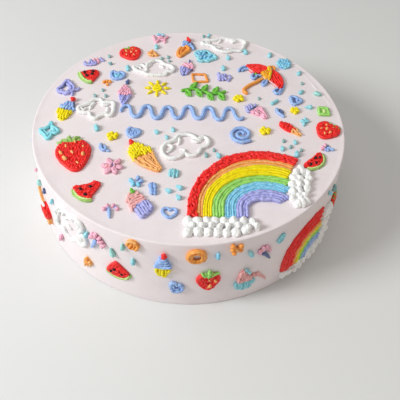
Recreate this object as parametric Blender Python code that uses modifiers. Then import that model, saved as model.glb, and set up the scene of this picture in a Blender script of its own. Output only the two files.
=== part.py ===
# A round iced cake, 266 mm across and 79 mm high, with piped buttercream toppings.
# Toppings are shaped flat in millimetres (x right, y up, z off the icing) and then laid on
# the level top or wrapped round the side. Larger ones are pieces of their own, and small
# ones are joined to the cake. The origin is the middle of the flat base, +Z is up and
# the front is -Y.

import bmesh
import bpy
import math
import random

# The cake, in millimetres
TOP_RADIUS = 133.0
BASE_RADIUS = 135.7
HEIGHT = 78.5
LIP_HEIGHT = 0.5
LIP_WIDTH = 3.0
EDGE_ROUND = 1.2
FACETS = 96

# Icing work, in millimetres
GAP = 0.3
SINK = 1.0
SKIRT = 0.35
ROPE = 1.6
MILLIMETRE = 0.001

# Places on the top are those of the crowns as seen from the front. Feet lie this much nearer
CROWN_SHIFT = 1.0

# The two-humped section of a rainbow band: share of its width, share of its height
BAND_SECTION = [(0, 0), (0.07, 0.72), (0.27, 1), (0.5, 0.7), (0.73, 1), (0.93, 0.72), (1, 0)]

# A strawberry's outline: share of its half width, share of its length
BERRY = [(0, 0.42), (0.55, 0.47), (0.95, 0.22), (0.93, -0.05), (0.62, -0.35), (0.2, -0.53)]

COLOURS = {
    "blush": (0.86, 0.76, 0.76),
    "red": (0.78, 0.02, 0.03),
    "orange": (0.88, 0.32, 0.06),
    "yellow": (0.93, 0.76, 0.02),
    "green": (0.28, 0.74, 0.2),
    "leaf": (0.12, 0.58, 0.05),
    "sky": (0.2, 0.6, 0.82),
    "teal": (0.17, 0.57, 0.62),
    "blue": (0.32, 0.5, 0.86),
    "violet": (0.4, 0.42, 0.82),
    "pink": (0.9, 0.42, 0.56),
    "white": (0.9, 0.9, 0.88),
}


def clear_scene():
    for obj in list(bpy.data.objects):
        bpy.data.objects.remove(obj)


def new_collection(name):
    collection = bpy.data.collections.new(name)
    bpy.context.scene.collection.children.link(collection)
    return collection


def icing_material(node, colour):
    material = bpy.data.materials.new(node + "_icing")
    material.use_nodes = True
    shader = material.node_tree.nodes["Principled BSDF"]
    shader.inputs["Base Color"].default_value = (*COLOURS[colour], 1)
    shader.inputs["Roughness"].default_value = 0.5
    shader.inputs["Metallic"].default_value = 0
    return material


# Flat outlines, as lists of (x, y)

def oval(width, length, count=6, x=0.0, y=0.0):
    """An ellipse of count points round (x, y)."""
    turns = [math.tau * step / count for step in range(count)]
    return [(x + width / 2 * math.sin(t), y + length / 2 * math.cos(t)) for t in turns]


def drop(width, length):
    """A teardrop with its point up."""
    half, reach = width / 2, length / 2
    return [(0, reach), (half * 0.8, reach * 0.1), (half * 0.75, -reach * 0.7),
            (0, -reach), (-half * 0.75, -reach * 0.7), (-half * 0.8, reach * 0.1)]


def heart(width, length):
    """A heart with its point down."""
    right = [(0.26, 0.5), (0.5, 0.28), (0.42, -0.08), (0, -0.5)]
    left = [(-x, y) for x, y in reversed(right[:-1])]
    return [(x * width, y * length) for x, y in [(0, 0.3)] + right + left]


def cone_outline(width, length):
    """A wafer cone hanging from its rim at y = 0, with a blunt tip."""
    return [(-width / 2, 0), (width / 2, 0), (width * 0.1, -length), (-width * 0.1, -length)]


def cup_outline(width, length):
    """A paper case, wider at its rim."""
    return [(-width / 2, 0), (width / 2, 0), (width * 0.36, -length), (-width * 0.36, -length)]


def petals(count, inner, outer, points_each=2):
    """The wavy outline of a flower, two points a petal or three for rounder ones."""
    points = []
    for step in range(points_each * count):
        reach = inner if step % points_each == 1 else outer
        turn = math.tau * step / (points_each * count)
        points.append((reach * math.sin(turn), reach * math.cos(turn)))
    return points


def moved(points, x, y, turn=0.0):
    """The outline turned by so many degrees, then moved."""
    c, s = math.cos(math.radians(turn)), math.sin(math.radians(turn))
    return [(x + c * px - s * py, y + s * px + c * py) for px, py in points]


# Solids over flat outlines, with their undersides at z = base

def mound(outline, height, shoulder=0.78, base=0.0):
    """A domed patch of icing: the outline, a shoulder ring above it and a crown."""
    solid = bmesh.new()
    corners = [solid.verts.new((x, y, base)) for x, y in outline]
    floor = solid.faces.new(corners)
    middle = floor.calc_center_median()
    raised = bmesh.ops.extrude_face_region(solid, geom=[floor], use_keep_orig=True)["geom"]
    roof = [item for item in raised if isinstance(item, bmesh.types.BMFace)][0]
    for corner in roof.verts:
        corner.co.x = middle.x + (corner.co.x - middle.x) * shoulder
        corner.co.y = middle.y + (corner.co.y - middle.y) * shoulder
        corner.co.z = base + height * 0.72
    crown = bmesh.ops.poke(solid, faces=[roof])["verts"][0]
    crown.co.z = base + height
    bmesh.ops.poke(solid, faces=[floor])
    bmesh.ops.recalc_face_normals(solid, faces=solid.faces)
    return solid


def rope(points, radius=ROPE, closed=False, resolution=0, base=0.0):
    """A piped line: a bevelled curve through the points, made a mesh and a little flattened."""
    curve = bpy.data.curves.new("rope", "CURVE")
    curve.dimensions = "3D"
    curve.bevel_depth = radius
    curve.bevel_resolution = resolution
    curve.use_fill_caps = not closed
    spline = curve.splines.new("POLY")
    spline.points.add(len(points) - 1)
    for knot, (x, y) in zip(spline.points, points):
        knot.co = (x, y, 0, 1)
    spline.use_cyclic_u = closed
    line = bpy.data.objects.new("rope", curve)
    bpy.context.scene.collection.objects.link(line)
    graph = bpy.context.evaluated_depsgraph_get()
    mesh = bpy.data.meshes.new_from_object(line.evaluated_get(graph))
    bpy.data.objects.remove(line)
    solid = bmesh.new()
    solid.from_mesh(mesh)
    bmesh.ops.remove_doubles(solid, verts=solid.verts, dist=0.001)
    bmesh.ops.recalc_face_normals(solid, faces=solid.faces)
    lowest = min(corner.co.z for corner in solid.verts)
    for corner in solid.verts:
        corner.co.z = base + (corner.co.z - lowest) * 0.85
    return solid


def band(sections):
    """A loft through unlike sections, each a list of points, closed at both ends."""
    solid = bmesh.new()
    rings = [[solid.verts.new(point) for point in section] for section in sections]
    count = len(rings[0])
    for near, far in zip(rings, rings[1:]):
        for step in range(count):
            after = (step + 1) % count
            solid.faces.new((near[step], far[step], far[after], near[after]))
    solid.faces.new(rings[0])
    solid.faces.new(list(reversed(rings[-1])))
    bmesh.ops.recalc_face_normals(solid, faces=solid.faces)
    return solid


# Laying flat solids on the cake

def on_top(x, y, turn=0.0):
    return ("top", x, y - CROWN_SHIFT, turn)


def on_side(azimuth, height, turn=0.0):
    return ("side", azimuth, height, turn)


def side_radius(height):
    share = height / HEIGHT
    return BASE_RADIUS + (TOP_RADIUS - BASE_RADIUS) * share


def widest_face(solid):
    spans = []
    for face in solid.faces:
        xs = [corner.co.x for corner in face.verts]
        ys = [corner.co.y for corner in face.verts]
        spans.append(max(max(xs) - min(xs), max(ys) - min(ys)))
    return max(spans)


def lay(solid, spot, lift):
    """Moves a flat solid's points to their place on the cake, in metres."""
    surface, across, up, turn = spot
    c, s = math.cos(math.radians(turn)), math.sin(math.radians(turn))
    for corner in solid.verts:
        x = c * corner.co.x - s * corner.co.y
        y = s * corner.co.x + c * corner.co.y
        off = corner.co.z + lift
        if surface == "top":
            corner.co = (across + x, up + y, HEIGHT + off)
        else:
            angle = math.radians(across) + x / TOP_RADIUS
            reach = side_radius(up + y) + off
            corner.co = (reach * math.sin(angle), -reach * math.cos(angle), up + y)
        corner.co *= MILLIMETRE


def mesh_object(name, solid, collection):
    mesh = bpy.data.meshes.new(name)
    solid.to_mesh(mesh)
    solid.free()
    obj = bpy.data.objects.new(name, mesh)
    collection.objects.link(obj)
    return obj


def union_into(body, additions):
    """Joins every object of a collection to the body with one Boolean, then drops them."""
    joint = body.modifiers.new("join", "BOOLEAN")
    joint.operation = "UNION"
    joint.operand_type = "COLLECTION"
    joint.collection = additions
    joint.solver = "EXACT"
    graph = bpy.context.evaluated_depsgraph_get()
    joined = bpy.data.meshes.new_from_object(body.evaluated_get(graph))
    body.modifiers.clear()
    body.data = joined
    for obj in list(additions.objects):
        bpy.data.objects.remove(obj)


def topping(name, colour, solids, spot):
    """One piece of icing of its own, a hair's breadth off the cake. Its solids are joined."""
    body = None
    reach = max(math.hypot(c.co.x, c.co.y) for solid in solids for c in solid.verts)
    taken.append((spot, reach))
    for solid in solids:
        lift = GAP
        if spot[0] == "side":
            lift += widest_face(solid) ** 2 / (8 * TOP_RADIUS)
        lay(solid, spot, lift)
        if body is None:
            body = mesh_object(name, solid, parts)
        else:
            mesh_object(name + "_piece", solid, joining)
    if joining.objects:
        union_into(body, joining)
    body.data.materials.clear()
    body.data.materials.append(icing_material(name, colour))
    return body


def small(solids, spot):
    """Small toppings that are one body with the cake: their undersides sink into the icing."""
    for solid in solids:
        for corner in solid.verts:
            if corner.co.z < SKIRT:
                corner.co.z = -SINK
        lay(solid, spot, 0)
        mesh_object("small", solid, smalls)


# The cake itself

def cake_body():
    """A turned body: level top, soft lip, slightly flared side and flat base."""
    edge = LIP_HEIGHT + HEIGHT
    profile = [
        (0, HEIGHT),
        (TOP_RADIUS - LIP_WIDTH, HEIGHT),
        (TOP_RADIUS - EDGE_ROUND * 1.6, edge),
        (TOP_RADIUS - EDGE_ROUND * 0.4, edge - EDGE_ROUND * 0.35),
        (TOP_RADIUS, HEIGHT - EDGE_ROUND),
        (BASE_RADIUS, EDGE_ROUND),
        (BASE_RADIUS - EDGE_ROUND, 0),
        (0, 0),
    ]
    mesh = bpy.data.meshes.new("cake")
    points = [(x * MILLIMETRE, 0, z * MILLIMETRE) for x, z in profile]
    mesh.from_pydata(points, [(i, i + 1) for i in range(len(points) - 1)], [])
    cake = bpy.data.objects.new("cake", mesh)
    parts.objects.link(cake)
    turned = cake.modifiers.new("turn", "SCREW")
    turned.steps = FACETS
    turned.render_steps = FACETS
    turned.use_merge_vertices = True
    turned.merge_threshold = 0.00001
    graph = bpy.context.evaluated_depsgraph_get()
    cake_mesh = bpy.data.meshes.new_from_object(cake.evaluated_get(graph))
    cake.modifiers.clear()
    cake.data = cake_mesh
    level = bmesh.new()
    level.from_mesh(cake_mesh)
    hubs = [corner for corner in level.verts if math.hypot(corner.co.x, corner.co.y) < 0.001]
    bmesh.ops.dissolve_verts(level, verts=hubs)
    bmesh.ops.recalc_face_normals(level, faces=level.faces)
    level.to_mesh(cake_mesh)
    level.free()
    cake_mesh.materials.clear()
    cake_mesh.materials.append(icing_material("cake", "blush"))
    return cake


# Rainbows

def rainbow_bands(prefix, bands, spot, foot, height, step):
    """Bands side by side. Each band's edge runs from its left radius to its top radius."""
    for colour, outer, inner, end in bands:
        sections = []
        places = [(0, foot)] * (foot > 0)
        places += [(turn, 0) for turn in range(0, end, step)] + [(end, 0)]
        for turn, drop_by in places:
            swing = math.radians(turn)
            share = math.sin(swing) ** 2
            high = outer[0] + (outer[1] - outer[0]) * share - GAP / 2
            low = inner[0] + (inner[1] - inner[0]) * share + GAP / 2
            section = []
            for across, rise in BAND_SECTION:
                reach = high + (low - high) * across
                x = -reach * math.cos(swing)
                y = reach * math.sin(swing) - drop_by
                section.append((x, y, height * rise))
            sections.append(section)
        topping(prefix + "_" + colour, colour, [band(sections)], spot)


def puffs(places, width, length, height):
    """A heap of puffs of icing. Each stands a little higher than the last, for clean joins."""
    solids = []
    for index, (x, y) in enumerate(places):
        base = 0.04 * (index % 3)
        tall = height * (1 - 0.12 * (index % 2))
        solids.append(mound(oval(width, length, 6, x, y), tall, 0.68, base))
    return solids


def top_rainbow():
    bands = [
        ("red", (59.5, 61.5), (52.5, 52), 117),
        ("orange", (52.5, 52), (48, 45), 115),
        ("yellow", (48, 45), (41, 34.5), 114),
        ("green", (41, 34.5), (32, 28), 117),
        ("sky", (32, 28), (23, 19), 124),
        ("violet", (23, 19), (14, 8.5), 141),
    ]
    rainbow_bands("rainbow", bands, on_top(59, -98.5), 7.5, 3.8, 9)
    upper = [(6.8 * index, -112.5) for index in range(8)]
    rim = TOP_RADIUS - LIP_WIDTH - 5.5
    lower = [(3 + 6.6 * index, -min(119, math.sqrt(rim ** 2 - (3 + 6.6 * index) ** 2)))
             for index in range(7)]
    topping("rainbow_cloud_left", "white", puffs(upper + lower, 9, 10, 5.5), on_top(0, 0))
    near = [(89.5, -56), (85, -62), (83, -70), (82, -78), (81.5, -85.5), (82, -92)]
    far = [(93.5, -61.5), (92.5, -68.5), (90.5, -75.5), (88.5, -82.5), (86.5, -89)]
    topping("rainbow_cloud_right", "white", puffs(near + far, 9.5, 9.5, 5.5), on_top(0, 0))


def side_rainbow():
    bands = [
        ("red", (34.3, 46.5), (23.4, 33.5), 106),
        ("orange", (23.4, 33.5), (21, 29.8), 110),
        ("yellow", (21, 29.8), (18.4, 26), 114),
        ("green", (18.4, 26), (15, 21.5), 118),
        ("blue", (15, 21.5), (9.5, 15), 130),
    ]
    rainbow_bands("side_rainbow", bands, on_side(49, 15), 0, 3.2, 15)
    row = [(-9.5 - 6.8 * index, 0) for index in range(4)]
    topping("side_cloud_left", "white", puffs(row, 8.5, 10, 5), on_side(49, 8.5))
    near = [(18.5, 2 + 7 * index) for index in range(6)]
    far = [(25, 5.5 + 7 * index) for index in range(4)]
    topping("side_cloud_right", "white", puffs(near + far, 8.5, 9.5, 5), on_side(49, 10))


# Clouds drawn as one line of piping

def clouds():
    outlines = {
        "cloud_back_left": [
            (-54, 72), (-50, 65), (-43, 62), (-35, 60), (-27, 61), (-21, 65), (-16, 71),
            (-18, 77), (-25, 79), (-29, 84), (-36, 85), (-41, 81), (-43, 76), (-50, 76)],
        "cloud_left": [
            (-97, 12), (-93, 17), (-88, 18), (-86, 23), (-79, 25), (-73, 22), (-68, 19),
            (-66, 12), (-67, 4), (-73, 2), (-78, 3), (-82, -1), (-88, 2), (-93, 5)],
        "cloud_middle": [
            (-21, -34), (-19, -28), (-13, -24), (-8, -19), (0, -18), (4, -22), (11, -21),
            (16, -25), (16, -31), (10, -34), (6, -41), (0, -44), (-5, -42), (-10, -46),
            (-17, -47), (-21, -42)],
        "cloud_back_right": [
            (10, 110), (14, 115), (20, 119), (28, 122), (36, 123), (44, 120), (50, 117),
            (53, 111), (51, 105), (46, 101), (39, 102), (33, 99), (26, 102), (20, 105),
            (14, 104)],
    }
    for name, outline in outlines.items():
        topping(name, "white", [rope(outline, 1.9, closed=True)], on_top(0, 0))
    side = [(-14, 2), (-10, 10), (-4, 12), (2, 16), (9, 13), (11, 7), (15, 3), (14, -6),
            (8, -10), (3, -15), (-4, -16), (-9, -10), (-14, -6)]
    for name, azimuth in (("cloud_side", -43), ("cloud_rear", 165)):
        topping(name, "white", [rope(side, 1.9, closed=True)], on_side(azimuth, 51))


# Fruit

def strawberry(name, spot, width, length, height):
    right = [(x * width / 2, y * length) for x, y in BERRY]
    left = [(-x, y) for x, y in reversed(right[1:])]
    solids = [mound(right + left, height, 0.82)]
    crown = length * 0.45
    for lean in (-48, 0, 48):
        leaf = [(0, length * 0.26), (width * 0.12, length * 0.08), (0, -length * 0.08),
                (-width * 0.12, length * 0.08)]
        solids.append(mound(moved(leaf, -math.sin(math.radians(lean)) * width * 0.16, crown,
                                  lean), height * 0.5, 0.5, height * 0.3))
    topping(name, "red", solids, spot)


def strawberries():
    strawberry("strawberry_left", on_top(-95, -46, 13), 31, 37, 5)
    strawberry("strawberry_back", on_top(-58, 94, 30), 20, 20, 4)
    strawberry("strawberry_right", on_top(117, -10, -30), 20.5, 21.5, 4)
    strawberry("strawberry_front", on_side(7.2, 34), 16.5, 20, 3.5)
    strawberry("strawberry_side", on_side(66, 37.5, 6), 15, 20, 3.5)
    strawberry("strawberry_rear", on_side(205, 36, 10), 18, 22, 3.5)


def melon(name, spot, flesh, rim):
    """A slice of water melon: the red wedge, and a line of rind along its rim of points."""
    rind = rope(flesh[-rim:], 2, resolution=1, base=0.15)
    topping(name, "red", [mound(flesh, 3.2, 0.84), rind], spot)


def melons():
    melon("melon_back_left", on_top(0, 0),
          [(-94, 65), (-86, 66), (-89, 56), (-91, 49), (-97.5, 51.5), (-102, 56.5), (-104, 62)],
          4)
    melon("melon_left", on_top(0, 0),
          [(-78, -76), (-68, -73.5), (-70.5, -82), (-72.5, -92), (-79.5, -91.5), (-86, -87),
           (-89, -80)], 4)
    melon("melon_right", on_top(0, 0),
          [(98, -45.5), (91.5, -51.5), (95, -55), (102, -55), (107.5, -50.5), (109.5, -44),
           (108.5, -38)], 5)
    flesh = [(-5, -1), (1, 12), (6, 6), (11.5, -1), (5, -7.5), (-2, -11), (-9, -12)]
    melon("melon_front", on_side(-23.7, 33), flesh, 4)
    melon("melon_rear", on_side(140, 34, 20), flesh, 4)


# Ices and cakes

def cone(name, colour, spot, scoop, wafer, cherry=None):
    """A scoop over a wafer cone whose rim is at the spot, and a cherry if it has one."""
    solids = [
        mound(oval(scoop[0], scoop[1], 8, 0, scoop[1] * 0.42), 3.8, 0.8),
        mound(cone_outline(*wafer), 3, 0.8, 0.1),
    ]
    if cherry:
        solids.append(mound(oval(4, 5, 5, cherry, scoop[1] * 0.95), 2.8, 0.7, 0.05))
    topping(name, colour, solids, spot)


def cupcake(name, colour, spot, frosting, case, cherry=None):
    """Frosting over a paper case whose rim is at the spot, and a cherry if it has one."""
    solids = [
        mound(oval(frosting[0], frosting[1], 8, 0, frosting[1] * 0.42), 3.8, 0.8),
        mound(cup_outline(*case), 3, 0.84, 0.1),
    ]
    if cherry is not None:
        solids.append(mound(oval(4.5, 5.5, 5, cherry, frosting[1] * 0.95), 2.8, 0.7, 0.05))
    topping(name, colour, solids, spot)


def ices():
    cone("cone_yellow", "yellow", on_top(-37, -44, 42), (19, 21), (18, 23), -3)
    cone("cone_blue", "orange", on_top(-7, 108, -15), (12, 11), (12, 17), 0.5)
    cone("cone_pink", "pink", on_top(-58.5, 32, -4), (11.5, 14), (10.5, 15))
    cone("cone_lilac", "pink", on_top(56, 14.5, 47), (10, 8), (12.5, 15))
    cupcake("cup_yellow", "yellow", on_top(-107.5, 10, -2), (12.5, 12), (13, 13), 3)
    cupcake("cup_lilac", "violet", on_top(-4, 71.5, -34), (12, 12), (10.5, 9))
    cupcake("cup_pink", "pink", on_top(-36.5, -95.5, 38), (17.5, 15), (15, 12), 1)
    cupcake("cup_front", "blue", on_side(-7.7, 53), (12, 15), (10, 11.5), 1)
    cupcake("cup_rear", "pink", on_side(186, 46), (14, 14), (12, 12), 0)
    cone("cone_rear", "yellow", on_side(225, 46, 12), (13, 13), (12, 20), 0)
    lolly = [(-10, 1), (-7, 5), (0, 5.5), (6, 5), (10, 2), (10.5, -1), (5, -4), (-3, -5.5),
             (-8, -4)]
    topping("lolly_red", "red", [mound(lolly, 3.2)], on_top(86, -8.5, -40))


# Umbrellas

def umbrellas():
    canopy = [(50, 76), (58, 79), (68, 78), (77, 75.5), (82.5, 66), (86, 55), (84, 48),
              (80.5, 45.5), (76, 54), (71, 57), (67, 64), (58, 67.5), (54, 72.5)]
    trim = [(48.5, 74.5), (59, 65), (69, 55.5), (80, 43.5)]
    solids = [mound(canopy, 4.2, 0.86)]
    solids += [mound(oval(8, 9, 6, x, y), 2.8, 0.7, 0.15) for x, y in trim]
    topping("umbrella", "red", solids, on_top(0, 0))
    handle = [(63.5, 56), (57, 51.5), (51.5, 46.5), (49, 42), (50, 38.5), (52, 37)]
    topping("umbrella_handle", "orange", [rope(handle, 1.5)], on_top(0, 0))
    folded = [(-3.5, 14), (3.5, 14), (4, 4), (2, -9), (1, -14), (-1, -14), (-2, -9), (-4, 4)]
    topping("umbrella_side", "red", [mound(folded, 3)], on_side(-61, 30.5))


# Scrolls and a sprig that run across the top, and other single pieces

def scrolls():
    pitch = 18.0
    steps = 8
    waves = []
    curl = []
    for step in range(6 * steps):
        turn = math.tau * step / steps
        waves.append((-60 + pitch * step / steps, 9 + 7.5 * math.sin(turn)))
    for step in range(2 * steps):
        turn = math.tau * step / steps
        reach = 1.5 + 4.6 * step / steps
        curl.append((reach * math.cos(turn), reach * math.sin(turn)))
    topping("wave_scroll", "violet", [rope(waves, 1.7)], on_top(0, 0))
    topping("curl", "violet", [rope(curl, 1.7)], on_top(44, -17))
    stem = [(-8 + 5 * step, 39 + 3 * math.sin(step * 0.8)) for step in range(9)]
    solids = [rope(stem, 1.5)]
    leaf = oval(5, 11, 6)
    for index in range(7):
        x, y = stem[index + 1]
        side = 1 if index % 2 else -1
        place = moved(leaf, x + 1, y + side * 4.6, -side * 28)
        solids.append(mound(place, 2.6, 0.7, 0.15 + 0.05 * side))
    topping("green_sprig", "leaf", solids, on_top(0, 0))


def single_pieces():
    sun = [mound(oval(12, 12, 10), 3, 0.8)]
    for ray in range(8):
        spike = moved([(-1.5, 5), (1.5, 5), (0, 12)], 0, 0, 45 * ray)
        sun.append(mound(spike, 2.2, 0.55, 0.2))
    topping("sun", "yellow", sun, on_top(-30, 42.5))
    flower = petals(5, 5, 9, 3)
    topping("flower_lilac", "violet", [rope(flower, 1.4, closed=True)], on_top(-111, 40))
    topping("flower_cyan", "teal", [rope(petals(4, 4, 9, 3), 1.4, closed=True)],
            on_top(-117, -17.5))
    topping("flower_pink", "pink", [rope(petals(5, 4, 7.5, 3), 1.4, closed=True)],
            on_top(-60, -57))
    topping("flower_teal", "teal", [mound(petals(6, 8, 10.5), 2.8)], on_top(13.5, 92))
    topping("ring_front", "orange", [rope(oval(10.5, 13.5, 12), 2.6, closed=True)],
            on_side(3, 67.5))
    topping("ring_rear", "orange", [rope(oval(12, 12, 12), 2.6, closed=True)],
            on_side(118, 60))
    sundae = [
        mound([(-6, -1), (5, -1), (4, 9), (-1, 13), (-5, 9)], 3.4),
        mound([(-9, 0), (8, 1), (9, -6), (3, -12), (-5, -12), (-9, -6)], 3, 0.82, 0.15),
    ]
    topping("sundae", "teal", sundae, on_side(19.5, 29))


# Small toppings, joined to the cake

def small_mounds(outline, spots, height=1.9, shoulder=0.65):
    for spot in spots:
        small([mound(outline, height, shoulder)], spot)


def small_ropes(points, spots, radius=1.3, closed=True):
    for spot in spots:
        small([rope(points, radius, closed)], spot)


def top_drops():
    places = [(-34, 106, 0), (-78, 89, 20), (-75, 78, 70), (-58, 50, 0), (-79, 38, 20),
              (-85, 30, 30), (-76, 30, 20), (-28, -16, 40), (-14, -13, 20), (-19, -22, 20),
              (20, -36, 0), (14, -42, 0), (24, -43, 20), (-15, -82, 60), (-7, -78, 60),
              (-7, -88, 40), (-28, 88, 0), (-22, 90, 20), (-20, 84, 20), (13, 127, 15),
              (53, 100, 0), (36, 91, 0), (31, 74, 0), (77, 98, -20), (103, 69, -30),
              (104, 54, -10), (101, 41, -45), (116, 39, 80), (62, 31, 0), (79, -23, 0),
              (88, -25, 0), (84, -30, 0), (77, -33, 20), (93, -34, 0), (88, -39, 0),
              (106, 20, 90), (75, 26, -60)]
    small_mounds(drop(4.2, 6.5), [on_top(*place) for place in places])
    long_ones = [(-59, 70, 5), (-78, -13, 25)]
    small_mounds(drop(4.8, 9.5), [on_top(*place) for place in long_ones])


def top_hearts_and_flowers():
    filled = [(-68, 60, 5), (-47, -17.5, 15), (95, 28.5, -20)]
    small_mounds(heart(12.5, 12.5), [on_top(*place) for place in filled], 2.4, 0.7)
    drawn = [(-13.5, -102.5, 10), (-11, -62, -25)]
    small_ropes(heart(9, 8.5), [on_top(*place) for place in drawn])
    blooms = [(-64.5, -21.5, 0), (44, 30, 10), (92.5, 15, 20), (89.5, 83, 0), (-41, -72.5, 12),
              (99, 1, 0), (118, 15, 36), (64, -12, 10)]
    small_mounds(petals(5, 3.6, 6), [on_top(*place) for place in blooms], 2.2)
    small_mounds(petals(6, 4.5, 7.5), [on_top(-31, 117.5, 0)], 2.2)
    bows = [(30, 60, 10), (113.5, -30, -10), (-57, -99.5, 0)]
    small_mounds(petals(3, 3, 6.5), [on_top(*place) for place in bows], 2)
    frame = [(-7, 5.5), (6.5, 5.5), (8, -5), (-7, -5)]
    small_ropes(frame, [on_top(8, 58.5, 0)], 1.3)


def top_oddments():
    bars = [(-69, -36, 35), (-26.5, -78.5, 15), (79, 11.5, 25)]
    small_mounds(oval(6, 14, 7), [on_top(*place) for place in bars], 2.4)
    small_mounds(oval(11, 9, 7), [on_top(-37, 95, 0), on_top(-76.5, 48, 0)], 2.4)
    ice = [(-9, -3), (-8, 3), (0, 4.5), (9, 4), (8, 0), (2, -4)]
    small_mounds(ice, [on_top(-93, 80, 22)], 2.6, 0.75)


def side_smalls():
    drops = [(-53, 62, -20), (-35, 60, -20), (-25, 54, 10), (-20.5, 66, 0), (-17.3, 51, 0),
             (9.6, 67, 0), (20.7, 62, 15), (20.5, 49, 15), (-64.5, 60, 0), (-60, 58, 0),
             (61, 67, 0), (57, 70, 30)]
    small_mounds(drop(4, 8), [on_side(*place) for place in drops])
    small_mounds(heart(12.5, 14.5), [on_side(-3.2, 27.5, 8), on_side(-37, 23, -10)], 2.4, 0.7)
    small_mounds(petals(5, 4, 6.5), [on_side(15.6, 70, 0), on_side(-17.3, 70, 0)], 2.4)
    small_mounds(oval(7, 10, 7), [on_side(31.8, 65), on_side(-51, 21)], 2.2)
    blooms = [(25.3, 62), (-30, 62), (26.8, 27), (-77, 57)]
    small_mounds(petals(4, 4, 6), [on_side(*place) for place in blooms], 2.2)
    sticks = [(26.5, 53, 25), (-32, 51, -25), (-63.5, 50, 5)]
    small_mounds(oval(3, 11, 5), [on_side(*place) for place in sticks], 1.8)


def is_free(azimuth, height, reach):
    """Whether a small topping of that reach is clear of the larger ones on the side."""
    for (surface, across, up, _), other in taken:
        away = (azimuth - across + 180) % 360 - 180
        apart = math.hypot(math.radians(away) * TOP_RADIUS, height - up)
        if surface == "side" and apart < reach + other + 2:
            return False
    return True


def rear_smalls():
    """The hidden side carries the same kinds, set out in three rows with a fixed seed."""
    chance = random.Random(7)
    kinds = [drop(4, 8), heart(12, 13), drop(4, 8), petals(5, 4, 6.5), drop(4, 8)]
    for index, azimuth in enumerate(range(84, 276, 5)):
        height = (17, 64, 41)[index % 3] + chance.uniform(-4, 4)
        turn = chance.uniform(-25, 25)
        if is_free(azimuth, height, 7):
            small_mounds(kinds[index % 5], [on_side(azimuth, height, turn)], 2.1)


clear_scene()
parts = new_collection("round_cake")
joining = new_collection("joining")
smalls = new_collection("small_toppings")
taken = []

top_rainbow()
side_rainbow()
clouds()
strawberries()
melons()
ices()
umbrellas()
scrolls()
single_pieces()
top_drops()
top_hearts_and_flowers()
top_oddments()
side_smalls()
rear_smalls()
union_into(cake_body(), smalls)
bpy.data.collections.remove(joining)
bpy.data.collections.remove(smalls)
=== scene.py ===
import math
import random

import bmesh
import bpy
from mathutils import Matrix, Vector, noise


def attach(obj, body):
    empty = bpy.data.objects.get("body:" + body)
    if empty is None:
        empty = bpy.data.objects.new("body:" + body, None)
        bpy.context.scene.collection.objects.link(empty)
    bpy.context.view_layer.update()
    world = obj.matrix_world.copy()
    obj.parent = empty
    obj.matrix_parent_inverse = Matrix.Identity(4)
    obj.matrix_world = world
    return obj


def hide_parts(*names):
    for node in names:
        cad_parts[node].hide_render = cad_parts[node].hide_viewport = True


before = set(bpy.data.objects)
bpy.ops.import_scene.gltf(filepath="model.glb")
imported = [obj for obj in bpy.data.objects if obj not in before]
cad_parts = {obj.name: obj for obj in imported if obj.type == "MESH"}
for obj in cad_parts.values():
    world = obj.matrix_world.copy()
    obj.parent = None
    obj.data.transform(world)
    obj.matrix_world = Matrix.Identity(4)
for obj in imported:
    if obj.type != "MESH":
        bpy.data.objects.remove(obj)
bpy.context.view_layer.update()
print("frame loaded:", len(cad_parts), "nodes")

mm = 0.001  # the drawings below are in millimetres

cakeForm = {
    "topRadius": 133.0,
    "baseRadius": 135.7,
    "height": 78.5,
    "lip": 0.25,  # how far the rim stands over the top
    "facets": 320,
    "waver": 0.22,  # how uneven the scraped icing is
    "crownShift": 1.0,  # drawings on top lie this much nearer the front
    "crease": [(102, 75), (108, 67), (112, 58), (117, 45), (121.5, 37), (126, 24)],  # left by the scraper
    "creaseHigh": 0.55,
    "creaseWide": 0.95,
}

icing = {  # each colour in sRGB steps, its slot in the record, its roughness
    "white": ((250, 250, 249), "white_icing", 0.5),
    "red": ((255, 54, 50), "red_icing", 0.4),
    # painted shade: a deeper red used only for the beds under red strokes, showing in their gaps
    "crimson": ((255, 28, 34), "red_icing", 0.42),
    "orange": ((255, 176, 82), "orange_icing", 0.42),
    "peach": ((255, 196, 124), "orange_icing", 0.42),
    "amber": ((255, 196, 60), "yellow_icing", 0.42),
    "yellow": ((255, 238, 10), "yellow_icing", 0.42),
    "rind": ((214, 238, 160), "green_icing", 0.42),
    "green": ((176, 234, 128), "green_icing", 0.4),
    "leaf": ((126, 208, 76), "leaf_green_icing", 0.38),
    "olive": ((172, 212, 118), "leaf_green_icing", 0.4),
    "sky": ((156, 224, 250), "sky_icing", 0.4),
    "cyan": ((160, 236, 246), "sky_icing", 0.4),
    "teal": ((166, 230, 240), "teal_icing", 0.4),
    "mint": ((176, 230, 224), "teal_icing", 0.42),
    "mist": ((150, 194, 194), "teal_icing", 0.42),
    "blue": ((170, 202, 248), "blue_icing", 0.4),
    # slate: partly the dark blue of some marks, partly painted shade laid beside blue and violet icing
    "slate": ((98, 118, 170), "blue_icing", 0.42),
    "violet": ((190, 192, 244), "violet_icing", 0.4),
    "pink": ((252, 196, 216), "pink_icing", 0.42),
    "rose": ((252, 196, 194), "pink_icing", 0.42),
    "seed": ((44, 10, 14), "red_icing", 0.36),
}

piping = {  # the nozzle work, in millimetres
    "step": 0.7,  # between two rings of a piped line
    "sit": 0.62,  # a line's middle over the icing, in radii
    "swell": 0.42,  # how much a line's thickness varies
    "wander": 0.5,  # how far a line strays
    "lump": 0.36,
    "ridges": 5,
    "groove": 0.74,  # how far in the grooves between them lie
    "puffLump": 1.4,
    "sunk": 0.6,  # how far the foot of a filled patch goes into the cake
}


def linear(colour):
    out = []
    for step in colour:
        c = step / 255
        out.append(c / 12.92 if c <= 0.04045 else ((c + 0.055) / 1.055) ** 2.4)
    return (*out, 1.0)


# Flat drawings, and where they lie

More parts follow.
